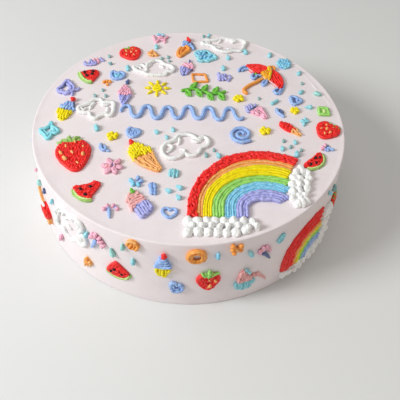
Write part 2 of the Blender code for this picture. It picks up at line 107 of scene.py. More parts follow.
def onTop(x=0.0, y=0.0, turn=0.0):
    return ("top", x, y - cakeForm["crownShift"], turn)


def onSide(azimuth, height, turn=0.0):
    return ("side", azimuth, height, turn)


def onCake(spot, x, y, off):
    surface, across, up, turn = spot
    c, s = math.cos(math.radians(turn)), math.sin(math.radians(turn))
    x, y = c * x - s * y, s * x + c * y
    if surface == "top":
        return Vector((across + x, up + y, cakeForm["height"] + off)) * mm
    share = (up + y) / cakeForm["height"]
    reach = cakeForm["baseRadius"] + (cakeForm["topRadius"] - cakeForm["baseRadius"]) * share + off
    angle = math.radians(across) + x / cakeForm["topRadius"]
    return Vector((reach * math.sin(angle), -reach * math.cos(angle), up + y)) * mm


top = onTop()


def outward(spot, x, y):
    return (onCake(spot, x, y, 1) - onCake(spot, x, y, 0)).normalized()


def moved(points, x, y, turn):
    c, s = math.cos(math.radians(turn)), math.sin(math.radians(turn))
    return [(x + c * px - s * py, y + s * px + c * py) for px, py in points]


def oval(width, length, count=8, x=0.0, y=0.0):
    turns = [math.tau * i / count for i in range(count)]
    return [(x + width / 2 * math.sin(t), y + length / 2 * math.cos(t)) for t in turns]


def smoothLoop(points, per=5):  # Catmull-Rom through a closed outline
    out = []
    n = len(points)
    for i in range(n):
        p = [Vector(points[(i + k) % n]) for k in (-1, 0, 1, 2)]
        for j in range(per):
            t = j / per
            a = 2 * p[1] + (p[2] - p[0]) * t
            b = (2 * p[0] - 5 * p[1] + 4 * p[2] - p[3]) * t * t
            c = (3 * p[1] - p[0] - 3 * p[2] + p[3]) * t ** 3
            out.append(tuple((a + b + c) / 2))
    return out


def paired(shape):  # x, y, x, y as points
    return shape if isinstance(shape[0], tuple) else list(zip(shape[::2], shape[1::2]))


lines = {}  # (node, colour): piped lines
beds = {}  # (node, colour): filled patches under them
puffs = {}  # (node, colour): round dollops
strips = {}  # (node, colour): the flat layer under a rainbow band
chance = random.Random(7)
vary = chance.uniform


def along(profile, share):
    place = share * (len(profile) - 1)
    k = min(int(place), len(profile) - 2)
    return profile[k] + (profile[k + 1] - profile[k]) * (place - k)


def reaching(points, by):  # an open line's round ends go past its drawing
    first, last = Vector(points[0]), Vector(points[-1])
    start = first + (first - Vector(points[1])).normalized() * by
    end = last + (last - Vector(points[-2])).normalized() * by
    return [tuple(start), *points[1:-1], tuple(end)]


def pipe(node, colour, spot, points, radius=1.4, lift=0.0, crinkle=0.0, profile=(1, 1), closed=False):
    points = paired(points)
    if not closed:
        points = reaching(points, radius * 0.5)
    height = radius * piping["sit"] + lift
    last = max(1, len(points) - 1)
    world = [onCake(spot, x, y, height) for x, y in points]
    radii = [radius * along(profile, i / last) for i in range(len(points))]
    lines.setdefault((node, colour), []).append((world, radii, closed, crinkle))


def loop(node, colour, spot, points, radius, lift=0.0, crinkle=0.0):
    pipe(node, colour, spot, points, radius, lift, crinkle, closed=True)


def pipes(node, colour, spot, drawn, *values):
    for points in drawn:
        pipe(node, colour, spot, points, *values)


def bed(node, colour, spot, outline, height):
    beds.setdefault((node, colour), []).append((spot, smoothLoop(paired(outline)), height))


def puff(node, colour, spot, x, y, width, length, height, turn=0.0):
    place = onCake(spot, x, y, height * 0.25)
    up = outward(spot, x, y)
    puffs.setdefault((node, colour), []).append((place, up, (width, length, height), turn))


def crossings(outline, turn, gap):  # rows across an outline, from edge to edge
    flat = moved(smoothLoop(paired(outline)), 0, 0, -turn)
    low, high = min(p[1] for p in flat), max(p[1] for p in flat)
    count = max(1, round((high - low) / gap))
    for row in range(count):
        y = low + (high - low) * (row + 0.5) / count
        cuts = sorted(x0 + (y - y0) / (y1 - y0) * (x1 - x0)
                      for (x0, y0), (x1, y1) in zip(flat, flat[1:] + flat[:1]) if (y0 <= y) != (y1 <= y))
        for left, right in zip(cuts[::2], cuts[1::2]):
            yield y, left, right


def rows(node, colour, spot, outline, gap=2.2, turn=0.0, radius=1.2, high=0.9, wild=0.5):  # to and fro
    bed(node, colour, spot, outline, high)
    path = []
    for k, (y, left, right) in enumerate(crossings(outline, turn, gap)):
        left, right = left + radius, max(left + radius, right - radius)
        ends = [(x + vary(-wild, wild), y + vary(-wild, wild) * 0.8)
                for x in (left, (left + right) / 2, right)]
        path += ends if k % 2 == 0 else ends[::-1]
    pipe(node, colour, spot, moved(path, 0, 0, turn), radius, lift=high * 0.5, crinkle=wild)


def strokes(node, colour, spot, outline, gap=1.9, turn=0.0, length=5.5, radius=1.1, high=0.9, wild=0.7,
            under=None, loose=0.0):  # short strokes side by side, and loose ones over them
    shortest = 0.5
    # a bed in an under colour darker than its strokes is painted shade, showing in the gaps between them
    bed(node, under or colour, spot, outline, high)
    for y, left, right in crossings(outline, turn, gap):
        inset = radius * 0.6  # so that a stroke's round end stays inside the outline
        x = left + inset - vary(0, length * 0.4)
        while x < right - radius:
            run = length * vary(0.6, 1.25)
            start, end = max(x, left + inset), min(x + run, right - inset)
            if end > start + shortest:
                lean, bow = vary(-wild, wild), vary(-wild, wild) * 0.6
                points = [(start, y - lean), ((start + end) / 2, y + bow), (end, y + lean)]
                pipe(node, colour, spot, moved(points, 0, 0, turn), radius * vary(0.85, 1.15),
                     lift=high * 0.4 + vary(0, 0.8), crinkle=0.5, profile=(0.8, 1, 0.7))
            x += run * 0.88  # the next one starts over this one's tail
        for _ in range(int(loose * (right - left) / 3 + chance.random())):
            place = moved([(vary(left + 2, max(left + 2, right - 2)), y)], 0, 0, turn)[0]
            long = vary(1.0, 1.9)
            points = moved([(-long, 0), (0, vary(-0.4, 0.4)), (long, 0)], *place,
                           turn + vary(-50, 50))
            pipe(node, colour, spot, points, radius * 0.85, lift=high * 0.4 + 1.2, crinkle=0.6,
                 profile=(0.7, 1, 0.6))


def dab(node, colour, spot, x, y, width, length, turn=0.0):  # a drop, its point up
    points = moved([(0, length * k) for k in (-0.3, -0.12, 0.2, 0.46)], x, y, turn)
    pipe(node, colour, spot, points, width / 2, profile=(0.85, 1.1, 0.75, 0.3))


def dabs(node, colour, spot, places, radius, lift):  # each from its thick end to its thin one
    for x0, y0, x1, y1 in places:
        points = [(x0, y0), ((x0 + x1) / 2, (y0 + y1) / 2), (x1, y1)]
        pipe(node, colour, spot, points, radius, lift=lift, profile=(1.1, 0.95, 0.6))


def heap(node, spot, places, width, length, high, turn, stray=0.0):  # white dollops of varied size
    for x, y in places:
        if stray:
            x, y = x + vary(-stray, stray), y + vary(-stray, stray)
        puff(node, "white", spot, x, y, vary(*width), vary(*length), vary(*high), vary(-turn, turn))


def draw(node, spot, marks):  # each mark: what draws it, its colour, its points, then its values
    for kind, colour, points, *values in marks:
        kind(node, colour, spot, points, *values)


def bloom(colour, spot, reach, size, heart):  # a little flower of five petals, on the cake itself
    for i in range(5):
        turn = 360 * i / 5 + vary(-12, 12)
        far = reach * vary(0.85, 1.1)
        points = moved([(0, far * 0.25), (0, far * 0.6), (0, far * 0.78)], 0, 0, turn)
        pipe("cake", colour, spot, points, size, lift=0.15 * (i % 2), profile=(0.6, 1, 1.05))
    pipe("cake", heart, spot, (-0.4, 0, 0.4, 0), size * 0.8, 0.8)


# Rainbows

def rainbow(prefix, bands, spot, foot):  # a band's lines, their crinkle, thickness and height
    for colour, outer, inner, end, count, crinkle, thick, rise in bands:
        node = prefix + "_" + colour
        for row in range(count):
            share = (row + 0.5) / count
            edge = [outer[k] + (inner[k] - outer[k]) * share for k in (0, 1)]
            width = [(outer[k] - inner[k]) / count * thick for k in (0, 1)]
            points, radii = [], []
            if foot:
                points.append((-edge[0], -foot))
                radii.append(width[0])
            steps = max(8, end // 6)
            for step in range(steps + 1):
                swing = math.radians(end * step / steps)
                part = math.sin(swing) ** 2
                stray = vary(-0.3, 0.3) * max(0.5, 0.4 + crinkle)
                reach = edge[0] + (edge[1] - edge[0]) * part + stray
                points.append((-reach * math.cos(swing), reach * math.sin(swing)))
                radii.append((width[0] + (width[1] - width[0]) * part) * vary(0.85, 1.15))
            lift = rise + 0.45 * (row % 2)
            world = [onCake(spot, x, y, min(r, 1.7) * piping["sit"] + lift)
                     for (x, y), r in zip(points, radii)]
            shade = "peach" if colour == "orange" and row % 2 else colour  # its middle lines are paler
            lines.setdefault((node, shade), []).append((world, radii, False, crinkle))
        under = []
        for edge, order in ((outer, 1), (inner, -1)):
            side = []
            for step in range(13):
                swing = math.radians(end * step / 12)
                reach = edge[0] + (edge[1] - edge[0]) * math.sin(swing) ** 2
                side.append((-reach * math.cos(swing), reach * math.sin(swing)))
            if foot:
                side.insert(0, (-edge[0], -foot))
            under.append(side[::order])
        strips.setdefault((node, colour), []).append((spot, under[0], under[1][::-1], 1.0))


def crumpledRed(node, spot, outer, inner, end, foot, lift=1.5, radius=1.15):  # short ruffles over a band
    for step in range(80):
        share = (step + chance.random()) / 80
        swing = math.radians(-10 + (end + 8) * share)
        depth = vary(0.08, 0.92)
        part = math.sin(max(0, swing)) ** 2
        reach = outer[0] + (outer[1] - outer[0]) * part
        reach -= depth * (outer[0] - inner[0] + (inner[0] - inner[1] - outer[0] + outer[1]) * part)
        x, y = -reach * math.cos(swing), reach * math.sin(swing)
        y = max(y, -foot)
        lean = 90 - math.degrees(swing) + vary(-55, 55)
        points = moved([(-2.0, 0), (0, vary(-0.5, 0.5)), (2.0, 0)], x, y, lean)
        pipe(node, "red", spot, points, radius, lift=lift, crinkle=0.8, profile=(0.6, 1, 0.6))


def topRainbow():
    bands = [
        ("red", (59.5, 61.5), (52.5, 52), 119, 4, 1.3, 0.6, 0.4),
        ("orange", (52.5, 52), (48, 45), 119, 4, -0.1, 0.62, 0.6),
        ("yellow", (48, 45), (41, 34.5), 120, 4, -0.1, 0.62, 0.5),
        ("green", (41, 34.5), (32, 28), 125, 4, -0.3, 0.62, 0.4),
        ("sky", (32, 28), (23, 19), 132, 5, -0.3, 0.62, 0.4),
        ("violet", (23, 19), (14, 8.5), 147, 4, -0.25, 0.62, 0.4),
    ]
    spot = onTop(59, -98.5)
    rainbow("rainbow", bands, spot, 7.5)
    crumpledRed("rainbow_red", spot, (59.5, 61.5), (52.5, 52), 117, 7)
    rim = cakeForm["topRadius"] - 8
    for i in range(8):  # the foot cloud: two rows of dollops, small ones between
        x = 6.6 * i + 0.3 + vary(-0.7, 0.7)
        puff("rainbow_cloud_left", "white", top, x, -111.8 + vary(-1.1, 1.1),
             vary(6.6, 8), vary(8.6, 10.8), vary(4.2, 5.6), vary(-14, 14))
        puff("rainbow_cloud_left", "white", top, x + 3.2, -115.8 + vary(-1, 1), 5.2, 5.8, 6.0)
    for i in range(7):
        x = 0.6 + 6.9 * i + vary(-0.5, 0.5)
        puff("rainbow_cloud_left", "white", top, x, -min(120.3, math.sqrt(rim ** 2 - x ** 2)),
             vary(7, 8.2), vary(7.2, 9), vary(3.8, 5), vary(-20, 20))
    places = paired((89, -55.5, 84.5, -60.5, 82, -66.5, 80.5, -73, 80, -80, 80, -87, 82.5, -92.5, 90, -60,
                    87.5, -66, 86, -72.5, 85.2, -79, 85, -85.5, 86, -91, 94, -59.5, 93.5, -65.5, 92.4, -71.5,
                    91, -77.5, 89.8, -83.5, 89, -89))
    heap("rainbow_cloud_right", top, places, (5.4, 7.0), (7.0, 9.0), (4.2, 5.6), 70, 0.7)


def sideRainbow():
    bands = [
        ("red", (34.3, 46.5), (22, 33), 106, 6, 1.2, 0.55, 0),
        ("orange", (22, 33), (19.5, 29.8), 110, 2, 0.8, 0.75, 0.8),
        ("yellow", (19.5, 29.8), (15.5, 25), 114, 3, 0.7, 0.7, 0.9),
        ("green", (15.5, 25), (12, 20), 118, 3, 0.7, 0.7, 0.9),
        ("blue", (12, 20), (7.5, 14), 130, 2, 0.7, 0.6, 0.9),
    ]
    spot = onSide(49, 15)
    rainbow("side_rainbow", bands, spot, 0)
    crumpledRed("side_rainbow_red", spot, (34.3, 46.5), (22, 33), 106, 0, 0.3, 1.0)
    pipe("side_rainbow_blue", "slate", spot, (-9.5, 1, -8, 8, -4, 14, 2, 16), 1.0, 1.6, 0.8)
    left = (-31, -5.5, -25, -7.5, -19, -8, -13, -7.5, -7, -7, -1, -6.5, -15.5, -2, -8.5, -1, -3, 0)
    right = (5, -6, 11, -5.5, 17, -5, 4, 1, 10, 1.5, 16, 1, 22, -3, 14, 8, 19, 7, 25, 4, 17, 14, 23, 12,
             18, 21, 24, 20, 19.5, 28, 25.5, 27, 19, 35, 25, 33)
    for node, places in (("side_cloud_left", left), ("side_cloud_right", right)):
        heap(node, spot, paired(places), (6, 8), (7, 9.4), (3.4, 5), 60)


# Clouds drawn with a soft white rope

cloudRope = {"radius": 2.05, "inner": 1.55, "lift": -0.4}

cloudShapes = {  # an outline, then the curls inside it
    "cloud_back_left": [
        (-54, 72, -50, 75, -46, 76, -42, 73, -41, 77, -38, 81, -34, 84, -29, 83, -26, 79, -22, 77, -18, 75,
         -16, 71, -18, 67, -22, 66, -24, 62, -30, 61, -36, 61, -41, 62, -45, 65, -50, 67),
        (-52, 71, -49, 73, -47, 71), (-46, 65, -43, 65, -41, 68, -42, 72), (-40, 74, -38, 79),
        (-29, 76, -26, 73), (-21, 71, -23, 67, -25, 64)],
    "cloud_left": [
        (-97, 13, -92, 17, -88, 20, -84, 24, -79, 24, -77, 20, -72, 21, -67.5, 20, -66.5, 13, -67, 6, -69, 3,
         -74, 4, -78, 2, -81, -1, -85, 1, -87, 6, -91, 6, -96, 8),
        (-95, 13, -93, 10, -90, 13), (-87, 12, -86, 16, -84, 20), (-87, 7, -85, 3, -82, 0), (-79, 23, -77, 18,
        -74, 17, -72, 18), (-72, 14, -72, 8, -75, 6)],
    "cloud_middle": [
        (-22, -37, -20, -31, -16, -28, -12, -25, -9, -20, -3, -18, 3, -20, 7, -24, 12, -21, 16, -25, 15, -31,
         10, -34, 8, -39, 4, -43, -1, -43, -4, -41, -8, -45, -14, -47, -20, -44),
        (-18, -31, -14, -33, -15, -37, -18, -40), (-9, -21, -8, -26, -9, -30), (2, -25, 6, -27, 10, -25),
        (-4, -41, -4, -37, -7, -36)],
    "cloud_back_right": [
        (11, 114, 15, 112, 20, 110, 23, 107, 26, 103, 31, 101, 37, 101, 42, 103, 48, 103, 51, 106, 52, 110,
         54, 114, 53, 119, 48, 121, 43, 119, 38, 121, 33, 123, 28, 122, 24, 120, 18, 119, 13, 118),
        (14, 118, 16, 115, 19, 116), (27, 123, 29, 119, 27, 116), (41, 117, 45, 119), (23, 111, 26, 108,
        30, 108), (36, 106, 41, 107)],
}

sideCloud = [
    (-19, 4.5, -14, 11, -9, 18.5, -2, 20, 3.3, 18.5, 9.5, 20.5, 15, 18.5, 16, 12.5, 12.2, 5.2, 16.2, 3.4,
     17.5, -3, 12.6, -10, 6.5, -8.5, -0.5, -14, -6.3, -12, -10.5, -8.2, -15.5, -12.2, -19, -8, -17, -2),
    (-15.5, 3, -11, 12, -5.5, 14.5, -8.4, 9), (-4.5, 8, 1.4, 14, 5.7, 13), (8.8, 16, 12, 13, 10.8, 8),
    (8.5, 1, 12.8, -1, 11.5, -5.6), (-9, -1, -3.5, 2.5, 1.6, 0),
]


def clouds():
    shapes = [(node, top, shape) for node, shape in cloudShapes.items()]
    shapes += [("cloud_side", onSide(-43, 51), sideCloud), ("cloud_rear", onSide(165, 51), sideCloud)]
    for node, spot, (outline, *curls) in shapes:
        pipe(node, "white", spot, outline, cloudRope["radius"], closed=True, lift=cloudRope["lift"])
        for curl in curls:
            pipe(node, "white", spot, curl, cloudRope["inner"], lift=cloudRope["lift"] + 0.2,
                 profile=(0.9, 1, 0.7))


# Fruit

def strawberry(node, spot, width, length, seeds, leaves, pip=2.5, calyx="leaf"):
    radius = 1.1  # of a stroke of its flesh
    side = [(0.0, 0.42), (0.55, 0.47), (0.96, 0.24), (0.94, -0.02), (0.58, -0.32), (0.18, -0.51)]
    right = [(x * width / 2, y * length) for x, y in side]
    outline = right + [(-x, y) for x, y in reversed(right[1:])]
    # a deeper red bed under the red strokes: painted shade in their gaps
    strokes(node, "red", spot, [(x * 0.94, y * 0.95) for x, y in outline], 1.9, 64, length * 0.24, radius,
            width * 0.05, 1.1, "crimson", 1.0)
    pipe(node, "red", spot, [(x * 0.95, y * 0.94) for x, y in outline], radius * 1.2, closed=True,
         lift=0.3, crinkle=0.2)
    high = width * 0.05 + 1.0
    for x, y, size in seeds:
        place = (x * width / 2, y * length)
        points = moved([(0, -pip * size * 0.4), (0, pip * size * 0.1), (0, pip * size * 0.45)],
                       *place, vary(-30, 30))
        pipe(node, "peach", spot, points, pip * size * 0.38, high * 0.88, 0.6, (1, 1, 0.7))
    for *line, thick in leaves:
        pipe(node, calyx, spot, line, thick, lift=high * 0.4, crinkle=0.9, profile=(1.1, 1, 0.45))


def strawberries():
    strawberry("strawberry_left", onTop(-92.6, -45.2, 15), 27.6, 34.6,
               [(0.2, 0.4, 1), (-0.36, 0.3, 1.15), (-0.72, 0.09, 1.4), (-0.08, 0.06, 1.1),
                (-0.55, -0.12, 1.7), (0.52, -0.06, 1.4), (0.12, -0.3, 1.0), (0.62, 0.2, 0.8)],
               [((-0.5, 16), (-1.5, 18.6), (-0.5, 21.8), 1.6), ((2.5, 16.4), (4, 18), (7.4, 18.6), 1.5),
                ((-3, 16.5), (-6.5, 17.6), (-9.5, 16.4), 1.5), ((-6.5, 15.8), (-2, 15.6), (5.6, 15), 1.4),
                ((-8, 14.6), (-10, 15.6), (-11.4, 17), 1.3), ((5, 15.6), (9, 15.4), 1.3),
                ((1.4, 16), (2.4, 19.6), 1.3)], 2.7, "olive")
    seeds = [(-0.35, 0.2, 1), (0.35, 0.24, 0.9), (0.05, 0.04, 1.15), (-0.5, -0.08, 1), (0.55, 0.0, 1),
             (0.12, -0.24, 1)]
    leaves = [((-1.5, 7), (-3, 10.5), 1.2), ((1, 7.2), (1.5, 11), 1.2), ((-4, 6.8), (-7, 9), 1.1),
              ((3.5, 7), (6.5, 9.5), 1.1), ((-4, 7), (0, 6.4), (4, 7), 1.1)]
    strawberry("strawberry_back", onTop(-58, 94, 26), 20, 18.5, seeds, leaves)
    strawberry("strawberry_right", onTop(117.5, -10, -33), 19.5, 20,
               [(-0.3, 0.24, 1), (0.3, 0.22, 1), (-0.1, 0.02, 1.3), (0.35, -0.1, 1.2), (-0.5, -0.08, 1.1),
                (0.0, -0.26, 1)],
               [((-1, 8), (-2.5, 11), 1.1), ((2, 7.5), (3.5, 10.5), 1.1), ((5, 6.5), (8.5, 8.5), 1.1),
                ((-2, 7.5), (5, 7), 1.0)])
    strawberry("strawberry_front", onSide(7, 34.5), 17, 20,
               [(0.08, 0.14, 1.0), (0.62, 0.08, 1.3), (0.12, -0.2, 1.4), (-0.35, 0.06, 0.8),
                (-0.1, -0.34, 0.7)],
               [((0, 6.5), (0.3, 10), (0.5, 14.5), 1.7), ((-2, 7.5), (-4, 10), (-5.5, 12), 1.5),
                ((2.5, 7.5), (5, 9.5), (7.5, 10), 1.5), ((-3, 8), (3.5, 7.5), 1.5),
                ((-1.2, 8), (-2, 12), 1.3), ((1.6, 8), (3, 12), 1.3)], pip=2.6, calyx="green")
    strawberry("strawberry_side", onSide(66, 37.5, 6), 14, 19, seeds, leaves)
    strawberry("strawberry_rear", onSide(205, 36, 10), 17, 20, seeds, leaves)


def melon(node, spot, flesh, rind, seeds, turn=0.0, size=1.0):
    flesh, rind = paired(flesh), paired(rind)
    middle = [sum(p[k] for p in flesh) / len(flesh) for k in (0, 1)]
    smaller = [tuple(m + (c - m) * 0.93 for c, m in zip(p, middle)) for p in flesh]
    # a deeper red bed under the red strokes: painted shade in their gaps
    strokes(node, "red", spot, smaller, 1.9, turn, 4.6, 1.1, 0.9, 0.8, "crimson", 0.7)
    for start, end in zip(smaller, smaller[1:] + smaller[:1]):
        pipe(node, "red", spot, [start, end], 1.25 * size ** 0.5, lift=0.3, crinkle=0.2)
    for share, radius, lift, colour in ((-0.12, 1.0, 0.8, "rind"), (0.0, 1.05, 0.1, "olive")):
        line = [tuple(p[k] + (p[k] - middle[k]) * share for k in (0, 1)) for p in rind]
        pipe(node, colour, spot, line, radius * size, lift=lift, crinkle=0.4)
    for x, y, lean in seeds:
        points = moved([(0, -0.8), (0, 0.2), (0, 1.0)], x, y, lean)
        pipe(node, "seed", spot, points, 1.4 * size, lift=1.7, crinkle=0.3, profile=(1.1, 1, 0.7))


def melons():
    melon("melon_back_left", top,
          (-102, 62, -95, 65, -88, 66, -85, 62.5, -87, 56, -90, 49.5, -95, 54, -99, 58.5),
          (-104, 62.5, -102, 57, -98.5, 52, -94, 48.5, -90, 48),
          [(-98, 61, 50), (-95.5, 56.5, 40), (-91, 58.5, 10), (-90.6, 62.6, 30)], 40, 1.2)
    melon("melon_left", top,
          (-88.5, -80, -79, -77.5, -70.5, -73.5, -67.5, -75.5, -70, -81, -73, -87, -73.5, -92, -79.5, -91,
           -85, -87),
          (-88.6, -82.5, -86, -87.4, -81, -91.5, -76.5, -93, -72.5, -92.6),
          [(-82, -82.8, 60), (-74.6, -80, 60), (-77.4, -88, 60)], 22)
    melon("melon_right", top,
          (108, -36.5, 101, -43, 93, -50.5, 92.5, -54, 98, -54.5, 104, -52, 108, -47, 109, -41),
          (109.8, -38, 110.6, -43, 109, -49, 104.5, -53.5, 99, -55.8, 94, -55.8),
          [(102.5, -44, 20), (106, -43.5, 0), (98, -51.3, 20), (102.5, -49.5, 30)], 46, 0.85)
    flesh = (-0.5, 11, 3.5, 7.5, 9.8, 0.5, 9.6, -3, 4, -6.6, -2, -7, -8, -5.2, -9, -2.5, -5, 5)
    rind = (-9.8, -5.6, -4, -9.6, 3, -10, 9, -7, 11.4, -1.5)
    seeds = [(-1.4, 2.2, 10), (4.8, -0.6, 40), (-4.6, -1.6, 0)]
    melon("melon_front", onSide(-23.7, 32), flesh, rind, seeds, 68)
    melon("melon_rear", onSide(140, 33, 20), flesh, rind, seeds, 68)


# Ices and cakes

def ices():
    draw("cone_yellow", top, [
        # the orange bed under the peach strokes is painted shade in their gaps
        (strokes, "peach", (-45, -48, -38, -45, -30, -39.5, -27.5, -48, -22, -58, -24, -61.5, -31, -59,
         -39, -54), 2.4, -52, 9, 1.05, 0.7, 0.6, "orange", 0.5),
        (pipes, "peach", [(-44.5, -49, -37, -55.5, -24, -61.5), (-40, -47, -34, -53, -22.5, -60.5), (-35, -44,
         -31, -51, -22.5, -59.5), (-30, -40, -27, -49, -21.5, -59)], 1.25, 0.9, 0.0, (1, 1, 0.8)),
        # the amber bed under the yellow strokes is painted shade in their gaps
        (strokes, "yellow", (-47, -32, -43, -29.5, -38, -33, -32, -35.5, -31, -40, -36, -42.5, -41, -46.5,
         -44.5, -50, -47.5, -44, -49.5, -37), 2.0, -62, 3.6, 1.25, 1.5, 1.0, "amber", 1.2),
        (dabs, "yellow", [(-32, -37, -31, -41), (-36, -41, -35, -44.5), (-44.5, -47, -44, -51)], 1.3, 0.8),
        (dabs, "red", [(-47.6, -31.8, -48.4, -27.6), (-46.4, -31.2, -47.6, -28.6)], 2.1, 0.8)])
    draw("cone_blue", top, [
        (bed, "orange", (-9, 107, -4, 108, -1.5, 103, -6, 96, -10, 91.5, -12.5, 96, -12, 102), 1.0),
        (pipe, "orange", (-9.5, 106, -12, 100, -12.5, 94.5, -10.5, 91.5, -6.5, 96, -2, 101.5, -2.5, 105,
         -5.5, 108), 1.7, 0.2),
        (pipe, "orange", (-6.5, 106.5, -9, 101, -10.2, 95.5), 1.4, 0.5),
        (strokes, "blue", (-9.5, 111, -7.5, 116.5, -4, 116.5, -0.5, 112.5, 0, 108.5, -5, 110), 1.9, 70, 5,
         1.2, 1.2),
        (pipe, "blue", (-1, 112.5, 1, 107.5, 2.8, 103.5), 1.4, 0.4, 0.6),
        (pipe, "slate", (0, 114.5, 2, 110, 3.6, 104.5), 0.9, 0.5, 0.4),
        (dabs, "red", [(-2.4, 117, -3.6, 121), (-1.6, 116, -2.2, 118)], 1.9, 1.2)])
    draw("cone_pink", top, [
        (strokes, "violet", (-63.5, 32, -58, 30, -53.5, 31, -56, 24, -59, 17, -61.5, 23), 1.9, 78, 12, 1.15,
         1.0, 0.3),
        (strokes, "pink", (-60, 45, -57, 41, -54.5, 37, -53, 32.5, -58, 31, -64.5, 32.5, -63.5, 38), 2.0, 65,
         5, 1.25, 1.4),
        (pipe, "pink", (-60, 45, -57, 41, -55, 38.5, -54, 35, -52.5, 32.5), 1.2, 0.9, 1.0),
        (pipe, "violet", (-53, 31, -56, 24, -59, 17.5), 1.1, 0.8)])
    draw("cone_lilac", top, [
        (strokes, "pink", (53, 11.5, 57, 16, 61.5, 19, 64.5, 14, 67.5, 6, 66, 3.5, 60, 7.5), 2.0, -50, 6,
         1.25, 1.2),
        (pipe, "pink", (62, 18.5, 64.5, 13, 67, 5), 1.2, 0.8),
        (dabs, "violet", [(51, 14, 49, 20), (53, 15, 51.5, 22), (55, 17, 54, 23), (57.5, 19, 58, 23),
         (52, 12, 49.5, 14)], 1.25, 0.5),
        (dabs, "slate", [(54, 14, 57.5, 19)], 1.1, 0.9)])
    draw("cup_yellow", top, [
        (strokes, "yellow", (-114, 12, -108, 9, -102, 8, -103.5, 3, -107, -3, -112, -2.5, -114, 4), 2.3, 84,
         12, 1.3, 1.2, 0.3),
        (strokes, "blue", (-112.5, 12, -112, 17, -108, 20.5, -104, 20, -101, 14, -101, 8.5, -107, 10), 2.2,
         100, 5, 1.35, 1.6, 0.9),
        # slate dab down the frosting's right edge: painted shade
        (dabs, "slate", [(-102, 19, -100.8, 10)], 1.1, 1.2),
        (dabs, "red", [(-103, 21.5, -104.5, 24), (-102.5, 22, -102.5, 24)], 1.9, 1.2)])
    draw("cup_lilac", top, [
        # the slate bed under the violet strokes is painted shade in their gaps
        (strokes, "violet", (-9.5, 74, -9, 64.5, -5.5, 62.5, -1.5, 66.5, -1, 71, -5, 74), 2.3, 60, 5, 1.2,
         1.0, 0.7, "slate"),
        (rows, "pink", (-8, 76, -6, 80.5, -1, 81, 2.5, 78, 3, 73, 3, 69.5, -1, 73), 2.2, -50, 1.3, 1.0, 0.9),
        (dabs, "slate", [(-1, 81, -1, 85.5), (0, 69, 2, 70.5), (-7, 65, -4, 66)], 1.0, 0.8)])
    draw("cup_pink", top, [
        (rows, "violet", (-32.5, -91, -28, -95, -26.5, -100, -29, -105, -34, -108.5, -37, -104.5, -39.5, -99,
         -36, -95), 2.3, -58, 1.5, 1.7, 0.25),
        (dabs, "slate", [(-30.5, -95.5, -30, -98.5), (-38.5, -98.4, -36.5, -97)], 0.8, 2.0),
        (rows, "rose", (-44, -84, -38.5, -83.5, -34.5, -87.5, -31.5, -91, -36, -95, -41.5, -101, -44, -96,
         -46, -89), 2.3, 38, 1.15, 1.8, 0.6),
        (dabs, "rose", [(-42, -98, -41.5, -102.5), (-45, -90, -46, -94)], 1.2, 1.0),
        (dabs, "leaf", [(-42.5, -85.5, -43.5, -81.5), (-41.5, -85, -42, -83)], 1.5, 1.8)])
    front = [(-2.4, 11), (0, 13), (3, 11.5), (4.4, 7), (6.2, 1.5), (0, 0), (-5.6, 1), (-3.8, 6)]
    case = [(-5, -0.5), (5.4, -0.5), (4.6, -8), (3, -12), (-3, -12), (-4.6, -8)]
    for cup, spot, frosting, colour, berry in [
            ("cup_front", onSide(-7.7, 53), "blue", "yellow", (1, 12.5, 1.4, 16)),
            ("cup_rear", onSide(186, 46, 4), "pink", "sky", (0, 12.5, 0, 16))]:
        rows(cup, colour, spot, case, 2.5, 88, 1.35, 1.2, 0.3)
        bed(cup, frosting, spot, front, 1.2)
        for x, y, half, size in [(0.3, 1.2, 6.0, 1.8), (0.2, 4.2, 4.5, 1.5), (0.6, 7, 3.1, 1.5),
                                 (0.4, 9.6, 2.0, 1.4), (0.6, 11.8, 0.7, 1.3)]:  # the swirl's turns
            pipe(cup, frosting, spot, (x - half, y - 0.6, x, y - 1.2, x + half, y + 0.4), size, 0.9, 0.9)
        dabs(cup, "red", spot, [berry, (berry[0] + 1, berry[1] + 1, berry[0] + 1, berry[3] - 1)], 2.3, 1.0)
    draw("cone_rear", onSide(225, 46, 12), [
        (strokes, "peach", (-5.5, 0, 5.5, 0, 1.5, -18, -1.5, -18), 2.3, 86, 18, 1.15, 0.9, 0.3),
        (rows, "yellow", oval(12, 12, 8, 0, 5), 2.3, 10, 1.35, 1.8, 0.8),
        (dabs, "red", [(0, 11, 0, 14.5)], 2.0, 1.2)])
    draw("lolly_red", top, [
        (strokes, "red", (77, -2.5, 80, 0, 85, -2, 89, -6, 90, -10, 86, -12.5, 81.5, -10, 78, -6), 1.8, 40, 4,
         1.2, 0.9),
        (strokes, "peach", (88, -6.5, 91.5, -9.5, 94.5, -16, 92.5, -17, 88.5, -14, 86, -12), 1.8, -62, 5, 1.1,
         0.8)])


# Umbrellas

